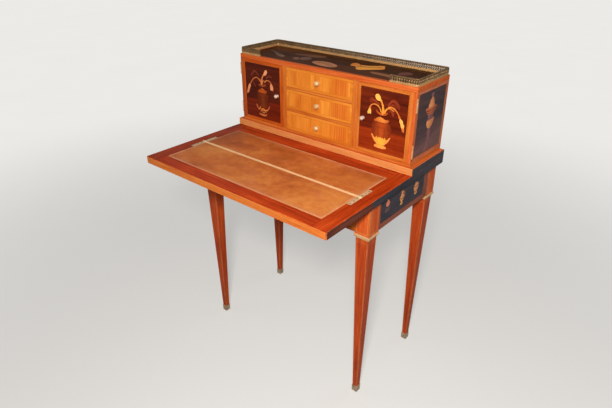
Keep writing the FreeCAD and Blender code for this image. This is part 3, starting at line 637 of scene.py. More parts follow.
@dataclass(frozen=True)
class DrawerVeneer(Finish):
    """Satinwood drawer front: light banding round a field with fluted blocks towards its ends."""

    name: str
    half_width: float
    bottom: float
    height: float
    shift: float
    banding: float = 9.0 * MM
    flute: float = 8.5 * MM
    block: Point = (62.0 * MM, 112.0 * MM)
    joint: Colour = tone(176, 90, 30)
    edge: Colour = tone(150, 60, 20)

    def paint(self, shader: Shader) -> None:
        """Draws the field, the flutes and the banding.

        Args:
            shader: The material's tree.
        """
        x = shader.axis(Axis.X)
        side = abs(x)
        z = shader.axis(Axis.Z) - self.bottom
        field_colour, relief = shader.wood(SATINWOOD, Axis.Z, self.shift)
        band_colour, _ = shader.wood(SATINWOOD, Axis.X, self.shift + 3.0)
        flute_colour, _ = shader.wood(FLUTE_WOOD, Axis.Z, self.shift + 6.0)
        inward = (self.half_width - side).least(z).least(self.height - z)
        in_field = inward.rise(self.banding, self.banding + 0.5 * MM)
        wave = shader.calc("SINE", side * (2 * math.pi / self.flute)) * 0.5 + 0.5
        block = side.within(*self.block, 4 * MM) * in_field
        strength = x.rise(-0.1, 0.12) * 0.6 + 0.25
        colour = shader.mix(in_field, band_colour, field_colour)
        colour = shader.mix(block * strength * (wave * 0.7 + 0.3), colour, flute_colour)
        line = inward.within(self.banding - 0.4 * MM, self.banding + 0.6 * MM, 0.4 * MM)
        colour = shader.mix(line * 0.5, colour, self.joint)
        colour = shader.mix(inward.rise(1.4 * MM, 0.2 * MM) * 0.4, colour, self.edge)
        shader.polish(colour, relief - wave * block * 0.4, 0.42)


@dataclass(frozen=True)
class Leather(Finish):
    """Tan writing leather, mottled and grained, with a tooled border."""

    name: str
    half_width: float
    front: float
    rear: float
    tooled: Point = (1.8 * MM, 4.8 * MM)
    inner: Point = (7.0 * MM, 8.6 * MM)
    pebbles: float = 700.0
    handled: tuple[Colour, Colour] = (tone(206, 118, 84), tone(188, 108, 34))
    faded: Colour = tone(210, 134, 92)
    shadow: Colour = tone(138, 60, 22)
    hollow: Colour = tone(120, 56, 22)
    gilt: Colour = tone(236, 172, 132)

    def paint(self, shader: Shader) -> None:
        """Draws the hide, its handling and the tooled lines.

        Args:
            shader: The material's tree.
        """
        x = shader.axis(Axis.X)
        y = shader.axis(Axis.Y)
        edge = (self.half_width - abs(x)).least(y - self.front).least(self.rear - y)
        broad = shader.noise(shader.scaled((5.0, 7.0, 5.0), 1.0), 4.0, 0.6, 0.5)
        handled = shader.noise(shader.scaled((11.0, 24.0, 11.0), 5.0), 5.0, 0.7, 0.8)
        small = shader.cloud(45.0, 5.0, 0.65)
        hide = ((0.32, tone(166, 78, 30)), (0.48, tone(208, 113, 50)), (0.66, tone(238, 152, 72)))
        colour = shader.ramp(broad * 0.7 + small * 0.3, *hide)
        colour = shader.mix(handled.rise(0.52, 0.7) * 0.4, colour, self.handled[0])
        colour = shader.mix(handled.rise(0.48, 0.3) * 0.5, colour, self.handled[1])
        faded = edge.rise(30 * MM, 0.0) * small.rise(0.3, 0.65)
        colour = shader.mix(faded * 0.5, colour, self.faded)
        # Painted shade, darker towards the rear left.
        rear_left = x.rise(-0.2, -0.32) * y.rise(-0.22, 0.0)
        colour = shader.mix(rear_left * 0.7, colour, self.shadow)
        cells = {"Vector": shader.place, "Scale": self.pebbles}
        settings = {"feature": "DISTANCE_TO_EDGE"}
        grain = shader.node("ShaderNodeTexVoronoi", "Distance", settings, cells).rise(0.0, 0.25)
        colour = shader.mix((1 - grain) * 0.25, colour, self.hollow)
        tooled = edge.within(*self.tooled, 1.0 * MM)
        inner = edge.within(*self.inner, 0.8 * MM)
        wear = shader.cloud(25.0, 3.0, shift=7.0).rise(0.3, 0.6) * 0.6 + 0.4
        colour = shader.mix((tooled * 0.75 + inner * 0.3) * wear, colour, self.gilt)
        relief = grain * 0.5 + small * 0.4 - tooled - inner
        shader.polish(colour, relief, small * 0.2 + 0.44, depth=0.0003, coat=0.0, specular=0.3)


@dataclass(frozen=True)
class Brass(Finish):
    """Brass or bronze with tarnish in its hollows and fine scratches."""

    name: str
    bright: Colour
    dull: Colour
    roughness: float = 0.36
    tarnish: float = 0.5
    metal: float = 0.75

    def paint(self, shader: Shader) -> None:
        """Clouds the metal and scratches it.

        Args:
            shader: The material's tree.
        """
        cloud = shader.cloud(60.0, 5.0, 0.65)
        scratch = shader.noise(shader.scaled((240.0, 900.0, 240.0)), 3.0)
        colour = shader.mix(cloud.rise(0.38, 0.62) * self.tarnish, self.bright, self.dull)
        relief = cloud * 0.6 + scratch * 0.4
        rough = cloud * 0.25 + (self.roughness - 0.1) + scratch * 0.06
        shader.polish(colour, relief, rough, depth=0.0001, coat=0.0, metal=self.metal, specular=0.5)


@dataclass(frozen=True)
class GalleryBrass(Finish):
    """The gallery's old brass: bright along its foot, browner in the grille above as painted shade."""

    name: str
    foot: float
    bright: Colour = tone(204, 158, 102)
    # The grille's colour, darker as painted shade for the dark seen through it.
    brown: Colour = tone(128, 98, 62)
    tarnish: Colour = tone(84, 64, 44)

    def paint(self, shader: Shader) -> None:
        """Clouds the brass, and darkens it above its foot with painted shade.

        Args:
            shader: The material's tree.
        """
        above = shader.axis(Axis.Z).rise(self.foot - 1.0 * MM, self.foot + 1.5 * MM)
        cloud = shader.cloud(50.0, 5.0, 0.65)
        # Painted shade: the grille above the foot is browner.
        colour = shader.mix(above, self.bright, self.brown)
        colour = shader.mix(cloud.rise(0.4, 0.66) * (above * 0.5 + 0.2), colour, self.tarnish)
        shader.polish(colour, cloud, cloud * 0.2 + 0.36, depth=0.0001, coat=0.0, metal=0.4, specular=0.35)


@dataclass(frozen=True)
class InlayWood(Finish):
    """A small sheet of coloured veneer, shaded at one side as by hot sand."""

    name: str
    light: Colour
    shade: Colour
    centre: float
    reach: float
    along: Axis = Axis.X
    streaks: Point = (60.0, 420.0)

    def paint(self, shader: Shader) -> None:
        """Shades the veneer from its middle outwards, over fine grain.

        Args:
            shader: The material's tree.
        """
        long, across = self.streaks
        scale = tuple(long if axis is self.along else across for axis in Axis)
        streak = shader.noise(shader.scaled(scale), 4.0, 0.6)
        side = abs(shader.axis(self.along) - self.centre) / self.reach
        patch = shader.cloud(70.0, 3.0, shift=2.0)
        share = (side * 0.55 + streak * 0.35 + patch * 0.45).rise(0.3, 0.95)
        colour = shader.mix(share, self.light, self.shade)
        shader.polish(colour, streak, 0.42, depth=0.00008)


@dataclass(frozen=True)
class StudioFloor(Finish):
    """The pale ground: it looks pale to the camera and throws little light back at the desk."""

    name: str = "studio_floor"
    glow: float = 0.45
    mirrored: float = 0.3
    pale: Colour = tone(238, 236, 232)
    dimmer: Colour = tone(234, 232, 228)
    bounce: Colour = tone(150, 146, 140)

    def paint(self, shader: Shader) -> None:
        """Mixes a matt ground with its own pale light, for what the camera sees.

        Args:
            shader: The material's tree.
        """
        seen = shader.node("ShaderNodeLightPath", "Is Camera Ray")
        colour = shader.mix(seen, self.bounce, self.pale)
        matt = shader.node("ShaderNodeBsdfDiffuse", 0, inputs={"Color": colour})
        pale = shader.mix(shader.cloud(2.0, 4.0), self.pale, self.dimmer)
        light = shader.node("ShaderNodeEmission", 0, inputs={"Color": pale, "Strength": 1.0})
        away = shader.node("ShaderNodeVectorMath", "Value", {"operation": "LENGTH"}, {0: shader.place})
        in_metal = shader.node("ShaderNodeLightPath", "Is Glossy Ray") * self.mirrored
        share = seen * (self.glow + (1 - self.glow) * away.rise(0.7, 3.2)) + in_metal
        ground = shader.node("ShaderNodeMixShader", 0, inputs={0: share, 1: matt, 2: light})
        shader.node("ShaderNodeOutputMaterial", None, inputs={"Surface": ground})


@dataclass(frozen=True)
class Lamp:
    """A square lamp: where it hangs, what it points at, its side in metres and its power in watts."""

    name: str
    place: Place
    aim: Place
    size: float
    power: float
    colour: Colour

    def hang(self) -> None:
        """Hangs the lamp in the studio."""
        data = bpy.data.lights.new(self.name, "AREA")
        data.shape = "SQUARE"
        data.size = self.size
        data.energy = self.power
        data.color = self.colour
        lamp = bpy.data.objects.new(self.name, data)
        lamp.location = self.place
        way = Vector(self.aim) - Vector(self.place)
        lamp.rotation_euler = way.to_track_quat("-Z", "Y").to_euler()
        bpy.context.scene.collection.objects.link(lamp)


@dataclass
class Studio:
    """The floor, the lamps and the camera.

    The camera's turn is in radians, and its focal length in pixels of the picture's width.
    """

    camera_place: Place = (0.959136, -1.096960, 1.366108)
    yaw: float = 0.69475
    pitch: float = -0.49582
    roll: float = 0.00116
    focal: float = 499.882
    image_width: float = 612.0
    sensor: float = 36.0
    floor_size: float = 30.0
    wall: Colour = tone(236, 234, 230)
    mirrored_wall: float = 0.36
    room: Colour = (0.93, 0.96, 1.0)
    room_light: float = 0.17
    lamps: tuple[Lamp, ...] = (
        Lamp("key", (1.04, -1.34, 1.70), (0.5, 0.1, 0.65), 0.24, 43.0, (1.0, 0.97, 0.93)),
        Lamp("fill", (-2.2, -1.8, 2.1), (0, 0, 0.7), 1.6, 9.0, (1.0, 0.97, 0.94)),
        Lamp("back", (1.4, 2.8, 2.4), (0, 0, 0.7), 2.0, 12.0, (1.0, 0.99, 0.97)),
    )

    def floor(self) -> None:
        """Lays the floor under the feet."""
        bpy.ops.mesh.primitive_plane_add(size=self.floor_size, location=(0, 0, 0))
        ground = bpy.context.object
        ground.name = "floor"
        ground.data.materials.append(StudioFloor().material())

    def world(self) -> None:
        """Fills the room with soft light; the camera sees a pale wall, and polished metal a dimmer one."""
        world = bpy.data.worlds.new("room")
        world.use_nodes = True
        tree = world.node_tree
        tree.nodes.clear()

        def glow(colour: Colour, strength: float) -> bpy.types.NodeSocket:
            """Adds one even light.

            Args:
                colour: Its colour.
                strength: Its strength.

            Returns:
                The socket that gives it.
            """
            light = tree.nodes.new("ShaderNodeBackground")
            light.inputs["Color"].default_value = (*colour, 1.0)
            light.inputs["Strength"].default_value = strength
            return light.outputs[0]

        path = tree.nodes.new("ShaderNodeLightPath")
        ground = glow(self.room, self.room_light)
        for ray, strength in (("Is Glossy Ray", self.mirrored_wall), ("Is Camera Ray", 1.0)):
            blend = tree.nodes.new("ShaderNodeMixShader")
            tree.links.new(path.outputs[ray], blend.inputs["Fac"])
            tree.links.new(ground, blend.inputs[1])
            tree.links.new(glow(self.wall, strength), blend.inputs[2])
            ground = blend.outputs[0]
        out = tree.nodes.new("ShaderNodeOutputWorld")
        tree.links.new(ground, out.inputs["Surface"])
        bpy.context.scene.world = world

    def camera(self) -> None:
        """Sets the camera by its place, its turn and its focal length."""
        level = math.cos(self.pitch)
        forward = Vector((-math.sin(self.yaw) * level, math.cos(self.yaw) * level, math.sin(self.pitch)))
        right = Vector((math.cos(self.yaw), math.sin(self.yaw), 0.0))
        up = right.cross(forward)
        turned_right = right * math.cos(self.roll) + up * math.sin(self.roll)
        turned_up = up * math.cos(self.roll) - right * math.sin(self.roll)
        data = bpy.data.cameras.new("camera")
        data.sensor_width = self.sensor
        data.lens = self.sensor * self.focal / self.image_width
        data.clip_start = 0.01
        camera = bpy.data.objects.new("camera", data)
        turn = Matrix((turned_right, turned_up, -forward)).transposed().to_4x4()
        camera.matrix_world = Matrix.Translation(Vector(self.camera_place)) @ turn
        bpy.context.scene.collection.objects.link(camera)
        bpy.context.scene.camera = camera

    def build(self) -> None:
        """Sets up the whole studio."""
        bpy.context.scene.view_settings.view_transform = "Standard"
        self.camera()
        self.floor()
        self.world()
        for lamp in self.lamps:
            lamp.hang()
        LOG.info("studio: floor, world, %d lamps and the camera", len(self.lamps))


class Face(Enum):
    """A face of the desk that marquetry lies on: the way out of it, and the way to the right on it."""

    FRONT = (Vector((0, -1, 0)), Vector((1, 0, 0)))
    RIGHT = (Vector((1, 0, 0)), Vector((0, 1, 0)))
    LEFT = (Vector((-1, 0, 0)), Vector((0, -1, 0)))
    TOP = (Vector((0, 0, 1)), Vector((1, 0, 0)))


def nothing_selected() -> None:
    """Deselects every object, since an operator acts on all that is selected."""
    bpy.ops.object.select_all(action="DESELECT")


def close_up() -> None:
    """Turns the faces of the mesh in hand outwards and leaves edit mode."""
    bpy.ops.mesh.select_all(action="SELECT")
    bpy.ops.mesh.normals_make_consistent(inside=False)
    bpy.ops.object.mode_set(mode="OBJECT")


def joined(parts: list[bpy.types.Object], name: str) -> bpy.types.Object:
    """Joins several parts into one piece.

    Args:
        parts: The parts.
        name: The piece's name.

    Returns:
        The piece.
    """
    nothing_selected()
    for part in parts:
        part.select_set(True)
    bpy.context.view_layer.objects.active = parts[0]
    if len(parts) > 1:
        bpy.ops.object.join()
    piece = bpy.context.object
    piece.name = name
    return piece


@dataclass
class Cutter:
    """Cuts veneers for one picture and lays them on a face of the desk.

    Each veneer lies one step higher than the one before, and the shapes within it a small share of a step.
    """

    face: Face
    origin: Vector
    body: str
    slot: str
    thickness: float = 0.3 * MM
    step: float = 0.08 * MM
    share: float = 1 / 8
    merged: float = 0.002 * MM
    laid: int = field(default=0, init=False)

    def placing(self) -> Matrix:
        """Works out the way from the cutting table to the face.

        Returns:
            The turn and shift.
        """
        out, right = self.face.value
        up = out.cross(right)
        return Matrix.Translation(self.origin) @ Matrix((right, up, out)).transposed().to_4x4()

    def sheet(self, outline: Outline) -> bpy.types.Object:
        """Cuts one smooth closed shape out of a sheet.

        Args:
            outline: Its points in millimetres, right and up from the picture's origin.

        Returns:
            The shape as a mesh on the cutting table.
        """
        nothing_selected()
        bpy.ops.curve.primitive_bezier_circle_add(radius=1.0, location=(0, 0, 0))
        shape = bpy.context.object
        data = shape.data
        data.dimensions = "2D"
        data.fill_mode = "BOTH"
        data.resolution_u = 5
        data.extrude = self.thickness / 2
        data.splines.clear()
        spline = data.splines.new("BEZIER")
        spline.bezier_points.add(len(outline) - 1)
        for point, (right, up) in zip(spline.bezier_points, outline):
            point.co = (right * MM, up * MM, 0)
            point.handle_left_type = point.handle_right_type = "AUTO"
        spline.use_cyclic_u = True
        bpy.ops.object.convert(target="MESH")
        return shape

    def lay(self, name: str, outlines: list[Outline], finish: Finish) -> None:
        """Cuts several shapes from one veneer and lays them as one piece, which rides on the picture's body.

        Args:
            name: The piece's name.
            outlines: The shapes.
            finish: The veneer.
        """
        sheets = [self.sheet(outline) for outline in outlines]
        for index, sheet in enumerate(sheets):
            sheet.data.transform(Matrix.Translation(Vector((0, 0, index * self.step * self.share))))
        piece = joined(sheets, name)
        bpy.ops.object.mode_set(mode="EDIT")
        bpy.ops.mesh.select_all(action="SELECT")
        bpy.ops.mesh.remove_doubles(threshold=self.merged)
        close_up()
        lift = Matrix.Translation(Vector((0, 0, self.step * self.laid)))
        piece.data.transform(self.placing() @ lift)
        piece.data.materials.clear()
        piece.data.materials.append(finish.material())
        self.laid += 1
        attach(piece, self.body)
        LOG.info("%s: %d shapes", name, len(outlines))


def ribbon(path: Outline, halves: list[float]) -> Outline:
    """Turns a line and its half widths into a closed outline.

    Args:
        path: The line's points.
        halves: The half width at each.

    Returns:
        The outline, up one side and down the other.
    """
    left: Outline = []
    right: Outline = []
    for index, ((x, y), half) in enumerate(zip(path, halves)):
        before = path[max(index - 1, 0)]
        after = path[min(index + 1, len(path) - 1)]
        run = Vector((after[0] - before[0], after[1] - before[1])).normalized()
        left.append((x - run.y * half, y + run.x * half))
        right.append((x + run.y * half, y - run.x * half))
    return left + right[::-1]


def mirrored(outline: Outline) -> Outline:
    """Turns a shape over about the upright line through the picture's origin."""
    return [(-x, y) for x, y in outline][::-1]


def both_sides(half: Outline) -> Outline:
    """Completes a shape from the points of its right half, from bottom to top."""
    return half + [(-x, y) for x, y in reversed(half) if x != 0]


@dataclass(frozen=True)
class UrnTones:
    """The light and shaded colour of each veneer in a door's picture."""

    far: tuple[Colour, Colour]
    urn: tuple[Colour, Colour]
    stems: tuple[Colour, Colour]
    leaves: tuple[Colour, Colour]
    buds: tuple[Colour, Colour]
    lid: tuple[Colour, Colour]
    cup: tuple[Colour, Colour]
    foot: tuple[Colour, Colour]
    engraving: Colour


SUNNY_TONES = UrnTones(
    far=(tone(160, 66, 36), tone(130, 46, 26)),
    urn=(tone(184, 78, 28), tone(124, 44, 20)),
    stems=(tone(240, 156, 58), tone(212, 108, 50)),
    leaves=(tone(204, 98, 34), tone(156, 64, 30)),
    buds=(tone(252, 196, 88), tone(246, 172, 84)),
    lid=(tone(230, 138, 60), tone(186, 86, 38)),
    cup=(tone(252, 180, 62), tone(240, 146, 66)),
    foot=(tone(252, 172, 76), tone(234, 138, 64)),
    engraving=tone(126, 52, 20),
)
# The left door's tones, darker than the right door's as painted shade.
SHADED_TONES = UrnTones(
    far=(tone(134, 62, 36), tone(106, 44, 28)),
    urn=(tone(126, 54, 18), tone(88, 28, 12)),
    stems=(tone(220, 130, 70), tone(196, 100, 56)),
    leaves=(tone(164, 76, 38), tone(120, 50, 28)),
    buds=(tone(244, 166, 112), tone(218, 128, 86)),
    lid=(tone(190, 88, 30), tone(140, 58, 26)),
    cup=(tone(232, 142, 62), tone(190, 94, 60)),
    foot=(tone(208, 122, 64), tone(172, 88, 50)),
    engraving=tone(84, 32, 16),
)

# How far the shading of each veneer in a door's picture goes, in millimetres.
SHADING = {"far": 60, "urn": 34, "stems": 70, "leaves": 34, "buds": 130, "lid": 34, "cup": 34, "foot": 34}


@dataclass
class FlowerUrn:
    """The picture on the right door: a footed urn in a leaf cup, with drooping flowers."""

    name: str
    body: str
    foot: Vector
    tones: UrnTones = SUNNY_TONES

    def shapes(self) -> dict[str, list[Outline]]:
        """Draws the picture, in millimetres from the middle of the urn's foot.

        Returns:
            The shapes of each part, from the back forwards.
        """
        return {
            # Dim flowers behind the others.
            "far": [
                ribbon(
                    [(-13, 128), (-22, 137), (-31, 141), (-39, 141), (-44, 136)], [1.2, 2.4, 4.0, 6.0, 3.0]
                ),
                ribbon([(18, 131), (24, 143), (33, 149), (44, 145), (54, 129)], [1.4, 2.8, 4.6, 4.4, 1.4]),
                ribbon([(23, 123), (31, 117), (37, 106)], [1.2, 3.4, 1.4]),
                ribbon([(27, 136), (36, 138), (45, 130)], [1.0, 1.8, 0.8]),
            ],
            "urn": [both_sides([(0, 27), (16, 29), (27, 38), (33, 55), (32, 70), (25, 80), (0, 83)])],
            # The upright stem, the two drooping ones, a twig and the last pale bead.
            "stems": [
                ribbon([(2, 103), (2, 115), (0, 128), (-4, 138), (-10, 147)], [4.2, 3.9, 3.2, 2.7, 2.4]),
                ribbon(
                    [(-4, 110), (-9, 120), (-17, 127), (-27, 129.5), (-36, 127), (-41.5, 121), (-43.5, 113)],
                    [1.0, 1.4, 1.6, 1.7, 1.8, 1.9, 2.4],
                ),
                ribbon(
                    [(6, 109), (12, 120), (20, 127.5), (30, 130), (42, 125), (52, 114), (59, 102)],
                    [2.1, 2.1, 2.3, 2.4, 2.0, 1.7, 1.6],
                ),
                ribbon([(14, 124), (26, 125.5), (38, 120)], [0.8, 1.3, 0.6]),
                [(67, 82), (71, 82), (74.5, 76), (75, 69), (72, 66), (68.5, 69), (66, 76)],
            ],
            "leaves": [
                [(-2, 102), (-12, 103), (-19, 108), (-21, 114.5), (-14, 109.5), (-7, 108), (-2, 108)],
                [(3, 102), (10, 103), (16, 107), (18, 112), (11, 109), (5, 107.5)],
            ],
            # One upright bud, a hanging bell and two bright beads.
            "buds": [
                [
                    (-10, 143), (-9, 150), (-12, 157), (-17, 161), (-23, 160.5), (-27.5, 155), (-25, 148),
                    (-18, 142),
                ],
                [
                    (-41.5, 114), (-38.5, 109), (-38, 103), (-39.5, 97.5), (-44, 99), (-49.5, 97.5),
                    (-50.5, 103), (-48, 109), (-45, 114),
                ],
                [(59, 103), (63.5, 102), (68.5, 96.5), (69, 91), (65, 88), (60, 90.5), (57.5, 97)],
                [(61.5, 92), (66, 93), (71.5, 89.5), (74, 83), (71.5, 78), (66.5, 77.5), (62.5, 84)],
            ],
            # The lid leans a little.
            "lid": [
                [
                    (-26, 82.5), (-21, 88), (-13, 93), (-6, 95.5), (3, 93), (10, 90), (24, 89), (22, 84.5),
                    (10, 80.5), (-4, 80), (-16, 81),
                ]
            ],
            # A leaf cup with seven tips.
            "cup": [
                both_sides(
                    [
                        (0, 9.5), (11, 10), (17, 16), (24, 22.5), (29, 31), (32, 40), (26, 35), (21.5, 30.5),
                        (18, 30), (14, 36), (11.5, 30.5), (7, 34.5), (3.5, 31.5), (0, 35),
                    ]
                )
            ],
            "foot": [both_sides([(0, 0), (12, 0.4), (21, 4), (18, 8.5), (9, 10.4), (0, 11)])],
        }

    def engraving(self) -> list[Outline]:
        """Draws the engraved lines.

        Returns:
            The fine dark lines on the cup, the lid and the urn.
        """
        lines = [
            ribbon([(-14, 11.6), (-7, 10.8), (0, 10.4), (7, 10.8), (14, 11.6)], [0.2, 0.3, 0.3, 0.3, 0.2]),
            ribbon([(-25, 79.4), (-12, 78), (0, 77.6), (12, 78), (25, 79.4)], [0.4, 0.6, 0.6, 0.6, 0.4]),
            ribbon([(-31, 66), (-17, 64), (0, 63.4), (17, 64), (31, 66)], [0.3, 0.4, 0.4, 0.4, 0.3]),
        ]
        for side in (-1, 1):
            lines.append(ribbon([(side * 8, 38), (side * 12, 51), (side * 11, 62)], [0.2, 0.4, 0.2]))
            lines.append(ribbon([(side * 19, 42), (side * 25, 52), (side * 24, 63)], [0.2, 0.4, 0.2]))
        return lines

    def build(self) -> None:
        """Cuts the picture's pieces, and then the lines engraved on them."""
        cutter = Cutter(Face.FRONT, self.foot, self.body, "door_marquetry")
        for part, outlines in self.shapes().items():
            light, shade = getattr(self.tones, part)
            veneer = InlayWood(f"{self.name}_{part}_veneer", light, shade, self.foot.x, SHADING[part] * MM)
            cutter.lay(f"{self.name}_{part}", outlines, veneer)
        burnt = self.tones.engraving
        line = InlayWood(f"{self.name}_engraving_line", burnt, burnt, self.foot.x, 1.0)
        cutter.lay(f"{self.name}_engraving", self.engraving(), line)


@dataclass
class ShadedFlowerUrn(FlowerUrn):
    """The picture on the left door: an urn the other way about, darker as painted shade, its cup in open
    strokes.
    """

    tones: UrnTones = SHADED_TONES

    def shapes(self) -> dict[str, list[Outline]]:
        """Draws the picture, in millimetres from the middle of the urn's foot.

        Returns:
            The shapes of each part, from the back forwards.
        """
        return {
            # Dim flowers behind the others.
            "far": [
                ribbon(
                    [(-17, 138), (-25, 146), (-36, 150), (-45, 143), (-53, 132)], [1.0, 2.2, 4.0, 3.6, 1.4]
                ),
                ribbon([(18, 134), (27, 140), (36, 143), (45, 139)], [1.2, 2.4, 3.4, 1.4]),
                ribbon([(-44, 112), (-38, 104), (-32, 97)], [1.0, 2.6, 1.0]),
            ],
            "urn": [both_sides([(0, 29), (15, 31), (25, 40), (30, 56), (29, 70), (23, 79), (0, 82)])],
            # The upright stem with its two roots, and the two drooping ones.
            "stems": [
                ribbon([(-3, 108), (-3.5, 118), (-1, 129), (4, 139), (11, 147)], [3.6, 3.0, 2.5, 2.4, 2.3]),
                ribbon([(-14, 126), (-8, 119), (-3, 115)], [1.2, 2.4, 2.6]),
                ribbon([(5, 125), (1, 119), (-2, 114)], [1.6, 2.2, 2.2]),
                ribbon(
                    [(-10, 121), (-18, 127), (-29, 129.5), (-40, 125), (-49, 116), (-57, 105), (-62, 98)],
                    [1.6, 1.7, 1.8, 1.8, 1.9, 2.0, 2.4],
                ),
                ribbon([(10, 119), (18, 125), (28, 127), (37, 123), (42, 116)], [1.2, 1.6, 1.7, 1.8, 2.0]),
            ],
            "leaves": [
                [(-4, 103), (-13, 103), (-20, 108), (-13, 109.5), (-5, 109)],
                [(-3, 103), (7, 103), (16, 108), (14, 113), (7, 109.5), (-2, 109)],
            ],
            # One upright bud, a long one that hangs, and a bell.
            "buds": [
                [
                    (8, 145), (9.5, 152), (14, 159), (19.5, 161), (24, 157.5), (23, 151), (18, 144.5),
                    (12, 141),
                ],
                [
                    (-57, 100), (-63, 102), (-68, 96), (-72.5, 84), (-76, 72), (-74, 67), (-70, 70),
                    (-64, 80), (-59, 91),
                ],
                [
                    (38.5, 116), (36.5, 108), (37.5, 99), (40, 95.5), (44, 98), (49, 96), (50.5, 102),
                    (49, 110), (45, 116),
                ],
            ],
            # The lid comes to a point.
            "lid": [
                [
                    (-24, 81), (-18, 88), (-9, 94), (-4, 97), (3, 95), (14, 91), (21, 88), (18, 82), (6, 80),
                    (-8, 80),
                ]
            ],
            # The leaf cup's open strokes.
            "cup": [
                ribbon([(-32, 36), (-29, 30), (-25, 24)], [1.6, 2.6, 1.6]),
                ribbon([(-24, 21), (-18, 22), (-14, 26), (-13, 31)], [2.2, 3.0, 1.8, 0.8]),
                ribbon(
                    [
                        (-13, 23), (-7, 21), (-2, 24), (3, 24), (8, 21), (15, 20.5), (22, 24), (28, 32),
                        (31, 38),
                    ],
                    [1.0, 1.7, 1.7, 1.8, 1.8, 2.6, 2.6, 1.7, 1.2],
                ),
                ribbon([(-13, 12), (-8, 17), (0, 19.5), (9, 17), (14, 12)], [0.9, 1.3, 1.4, 1.3, 0.9]),
                ribbon([(-4, 13), (2, 9.5), (8, 13)], [1.0, 1.4, 1.0]),
            ],
            "foot": [
                [(-20, 3), (-12, -0.5), (2, -1.5), (14, 1), (18, 8), (12, 5.5), (2, 4.5), (-10, 5), (-17, 7)]
            ],
        }


@dataclass
class SideUrn:
    """The picture on a cabinet side: a covered urn on a tall foot."""

    name: str
    face: Face
    origin: Vector
    lit: float = -14.0 * MM

    def veneer(self, part: str, light: Colour, shade: Colour, reach: float) -> InlayWood:
        """Mixes one of the urn's veneers, shaded from its lit line outwards by so many millimetres."""
        return InlayWood(f"{self.name}_{part}", light, shade, self.origin.y + self.lit, reach * MM, Axis.Y)

    def build(self) -> None:
        """Cuts the urn from its foot upwards."""
        pale = self.veneer("pale_veneer", tone(246, 162, 104), tone(168, 92, 62), 50.0)
        warm = self.veneer("warm_veneer", tone(206, 112, 68), tone(162, 80, 50), 60.0)
        faint = self.veneer("faint_veneer", tone(142, 94, 94), tone(106, 70, 74), 50.0)
        dark = self.veneer("band_line", tone(92, 44, 36), tone(80, 38, 32), 44.0)
        stem = both_sides([(0, 0), (23, 0), (22, 3), (13, 8), (10, 18), (8, 40), (9, 62), (0, 68)])
        neck = both_sides([(0, 90), (17, 90), (15, 97), (17, 109), (0, 110)])
        finial = both_sides([(0, 158), (5, 161), (8, 165), (5, 170), (0, 172)])
        body = both_sides([(0, 108), (14, 109), (22, 112), (28, 119), (34, 129), (24, 131), (0, 132)])
        bowl = [
            (-9, 67), (0, 65), (8, 67), (16, 74), (21, 84), (22, 95), (12, 93), (-6, 91), (-19, 90),
            (-20, 80), (-15, 72),
        ]
        if self.face is Face.LEFT:
            bowl = mirrored(bowl)
        lid = both_sides([(0, 129), (17, 131), (14, 143), (8, 154), (0, 160)])
        bands = [
            ribbon([(-30, 122), (0, 119), (30, 122)], [0.5, 0.8, 0.5]),
            ribbon([(-25, 115), (0, 112), (25, 115)], [0.4, 0.6, 0.4]),
        ]
        cutter = Cutter(self.face, self.origin, "desk", "side_marquetry")
        for part, outlines, veneer in (
            ("foot", [stem], faint),
            ("neck", [neck, finial], faint),
            ("body", [body], warm),
            ("bowl_and_lid", [bowl, lid], pale),
            ("bands", bands, dark),
        ):
            cutter.lay(f"{self.name}_{part}", outlines, veneer)


@dataclass
class FriezeVases:
    """Three small vessels along a side frieze, the first a cup on its saucer."""

    name: str
    face: Face
    plane: float
    lit: float = -5.0

    def turned_over(self, outlines: list[Outline]) -> list[Outline]:
        """Turns the shapes over for the left side."""
        return [mirrored(outline) for outline in outlines] if self.face is Face.LEFT else outlines

    def build(self) -> None:
        """Cuts the vessels, each about its own middle, in millimetres along and above the floor."""
        pink = (tone(236, 138, 104), tone(200, 104, 84))
        amber = (tone(240, 166, 96), tone(186, 112, 98))
        dim = (tone(104, 78, 80), tone(84, 64, 68))
        cup = both_sides([(0, -10), (6, -8.5), (9.5, -3), (9, 3), (5, 7), (3, 11), (0, 12)])
        saucer = both_sides([(0, -27), (12, -26), (16, -20), (13, -15), (0, -14)])
        ewer = [
            (-8, -21), (7, -21), (7, -18), (4, -15), (10, -8), (12, 0), (9, 8), (5, 13), (7, 22), (2, 18),
            (-3, 24), (-4, 14), (-8, 7), (-11, -1), (-9, -9), (-4, -15), (-7, -18),
        ]
        ewer_line = ribbon([(-10, -2), (0, -4), (11, -2)], [0.5, 0.7, 0.5])
        handle = ribbon([(5, 15), (12, 14), (15, 6), (12, -3)], [1.1, 1.3, 1.3, 1.1])
        vase = [
            (-8, -20), (7, -20), (8, -17), (6, -14), (12, -8), (15, 1), (15, 12), (10, 13), (6, 14),
            (7, 20), (0, 17), (-6, 21), (-7, 14), (-12, 11), (-15, 3), (-12, -7), (-6, -14), (-8, -17),
        ]
        vase_lines = [
            ribbon([(-14, 6), (0, 3.6), (15, 6)], [0.6, 0.9, 0.6]),
            ribbon([(-9, -10), (0, -12), (9, -10)], [0.5, 0.8, 0.5]),
        ]
        burnt = InlayWood(f"{self.name}_burnt_line", tone(104, 62, 56), tone(84, 50, 48), 0.0, 1.0, Axis.Y)
        for part, along, height, outlines, lines, woods in (
            ("cup", -3, 702, [cup], [], pink),
            ("saucer", -3, 702, [saucer], [], dim),
            ("ewer", 75, 690, [ewer, handle], [ewer_line], amber),
            ("vase", 159, 690, [vase], vase_lines, amber),
        ):
            middle = Vector((self.plane, along * MM, height * MM))
            cutter = Cutter(self.face, middle, "desk", "frieze_marquetry")
            veneer = InlayWood(
                f"{self.name}_{part}_veneer", *woods, (along + self.lit) * MM, 24 * MM, Axis.Y
            )
            cutter.lay(f"{self.name}_{part}", self.turned_over(outlines), veneer)
            if lines:
                cutter.lay(f"{self.name}_{part}_lines", self.turned_over(lines), burnt)


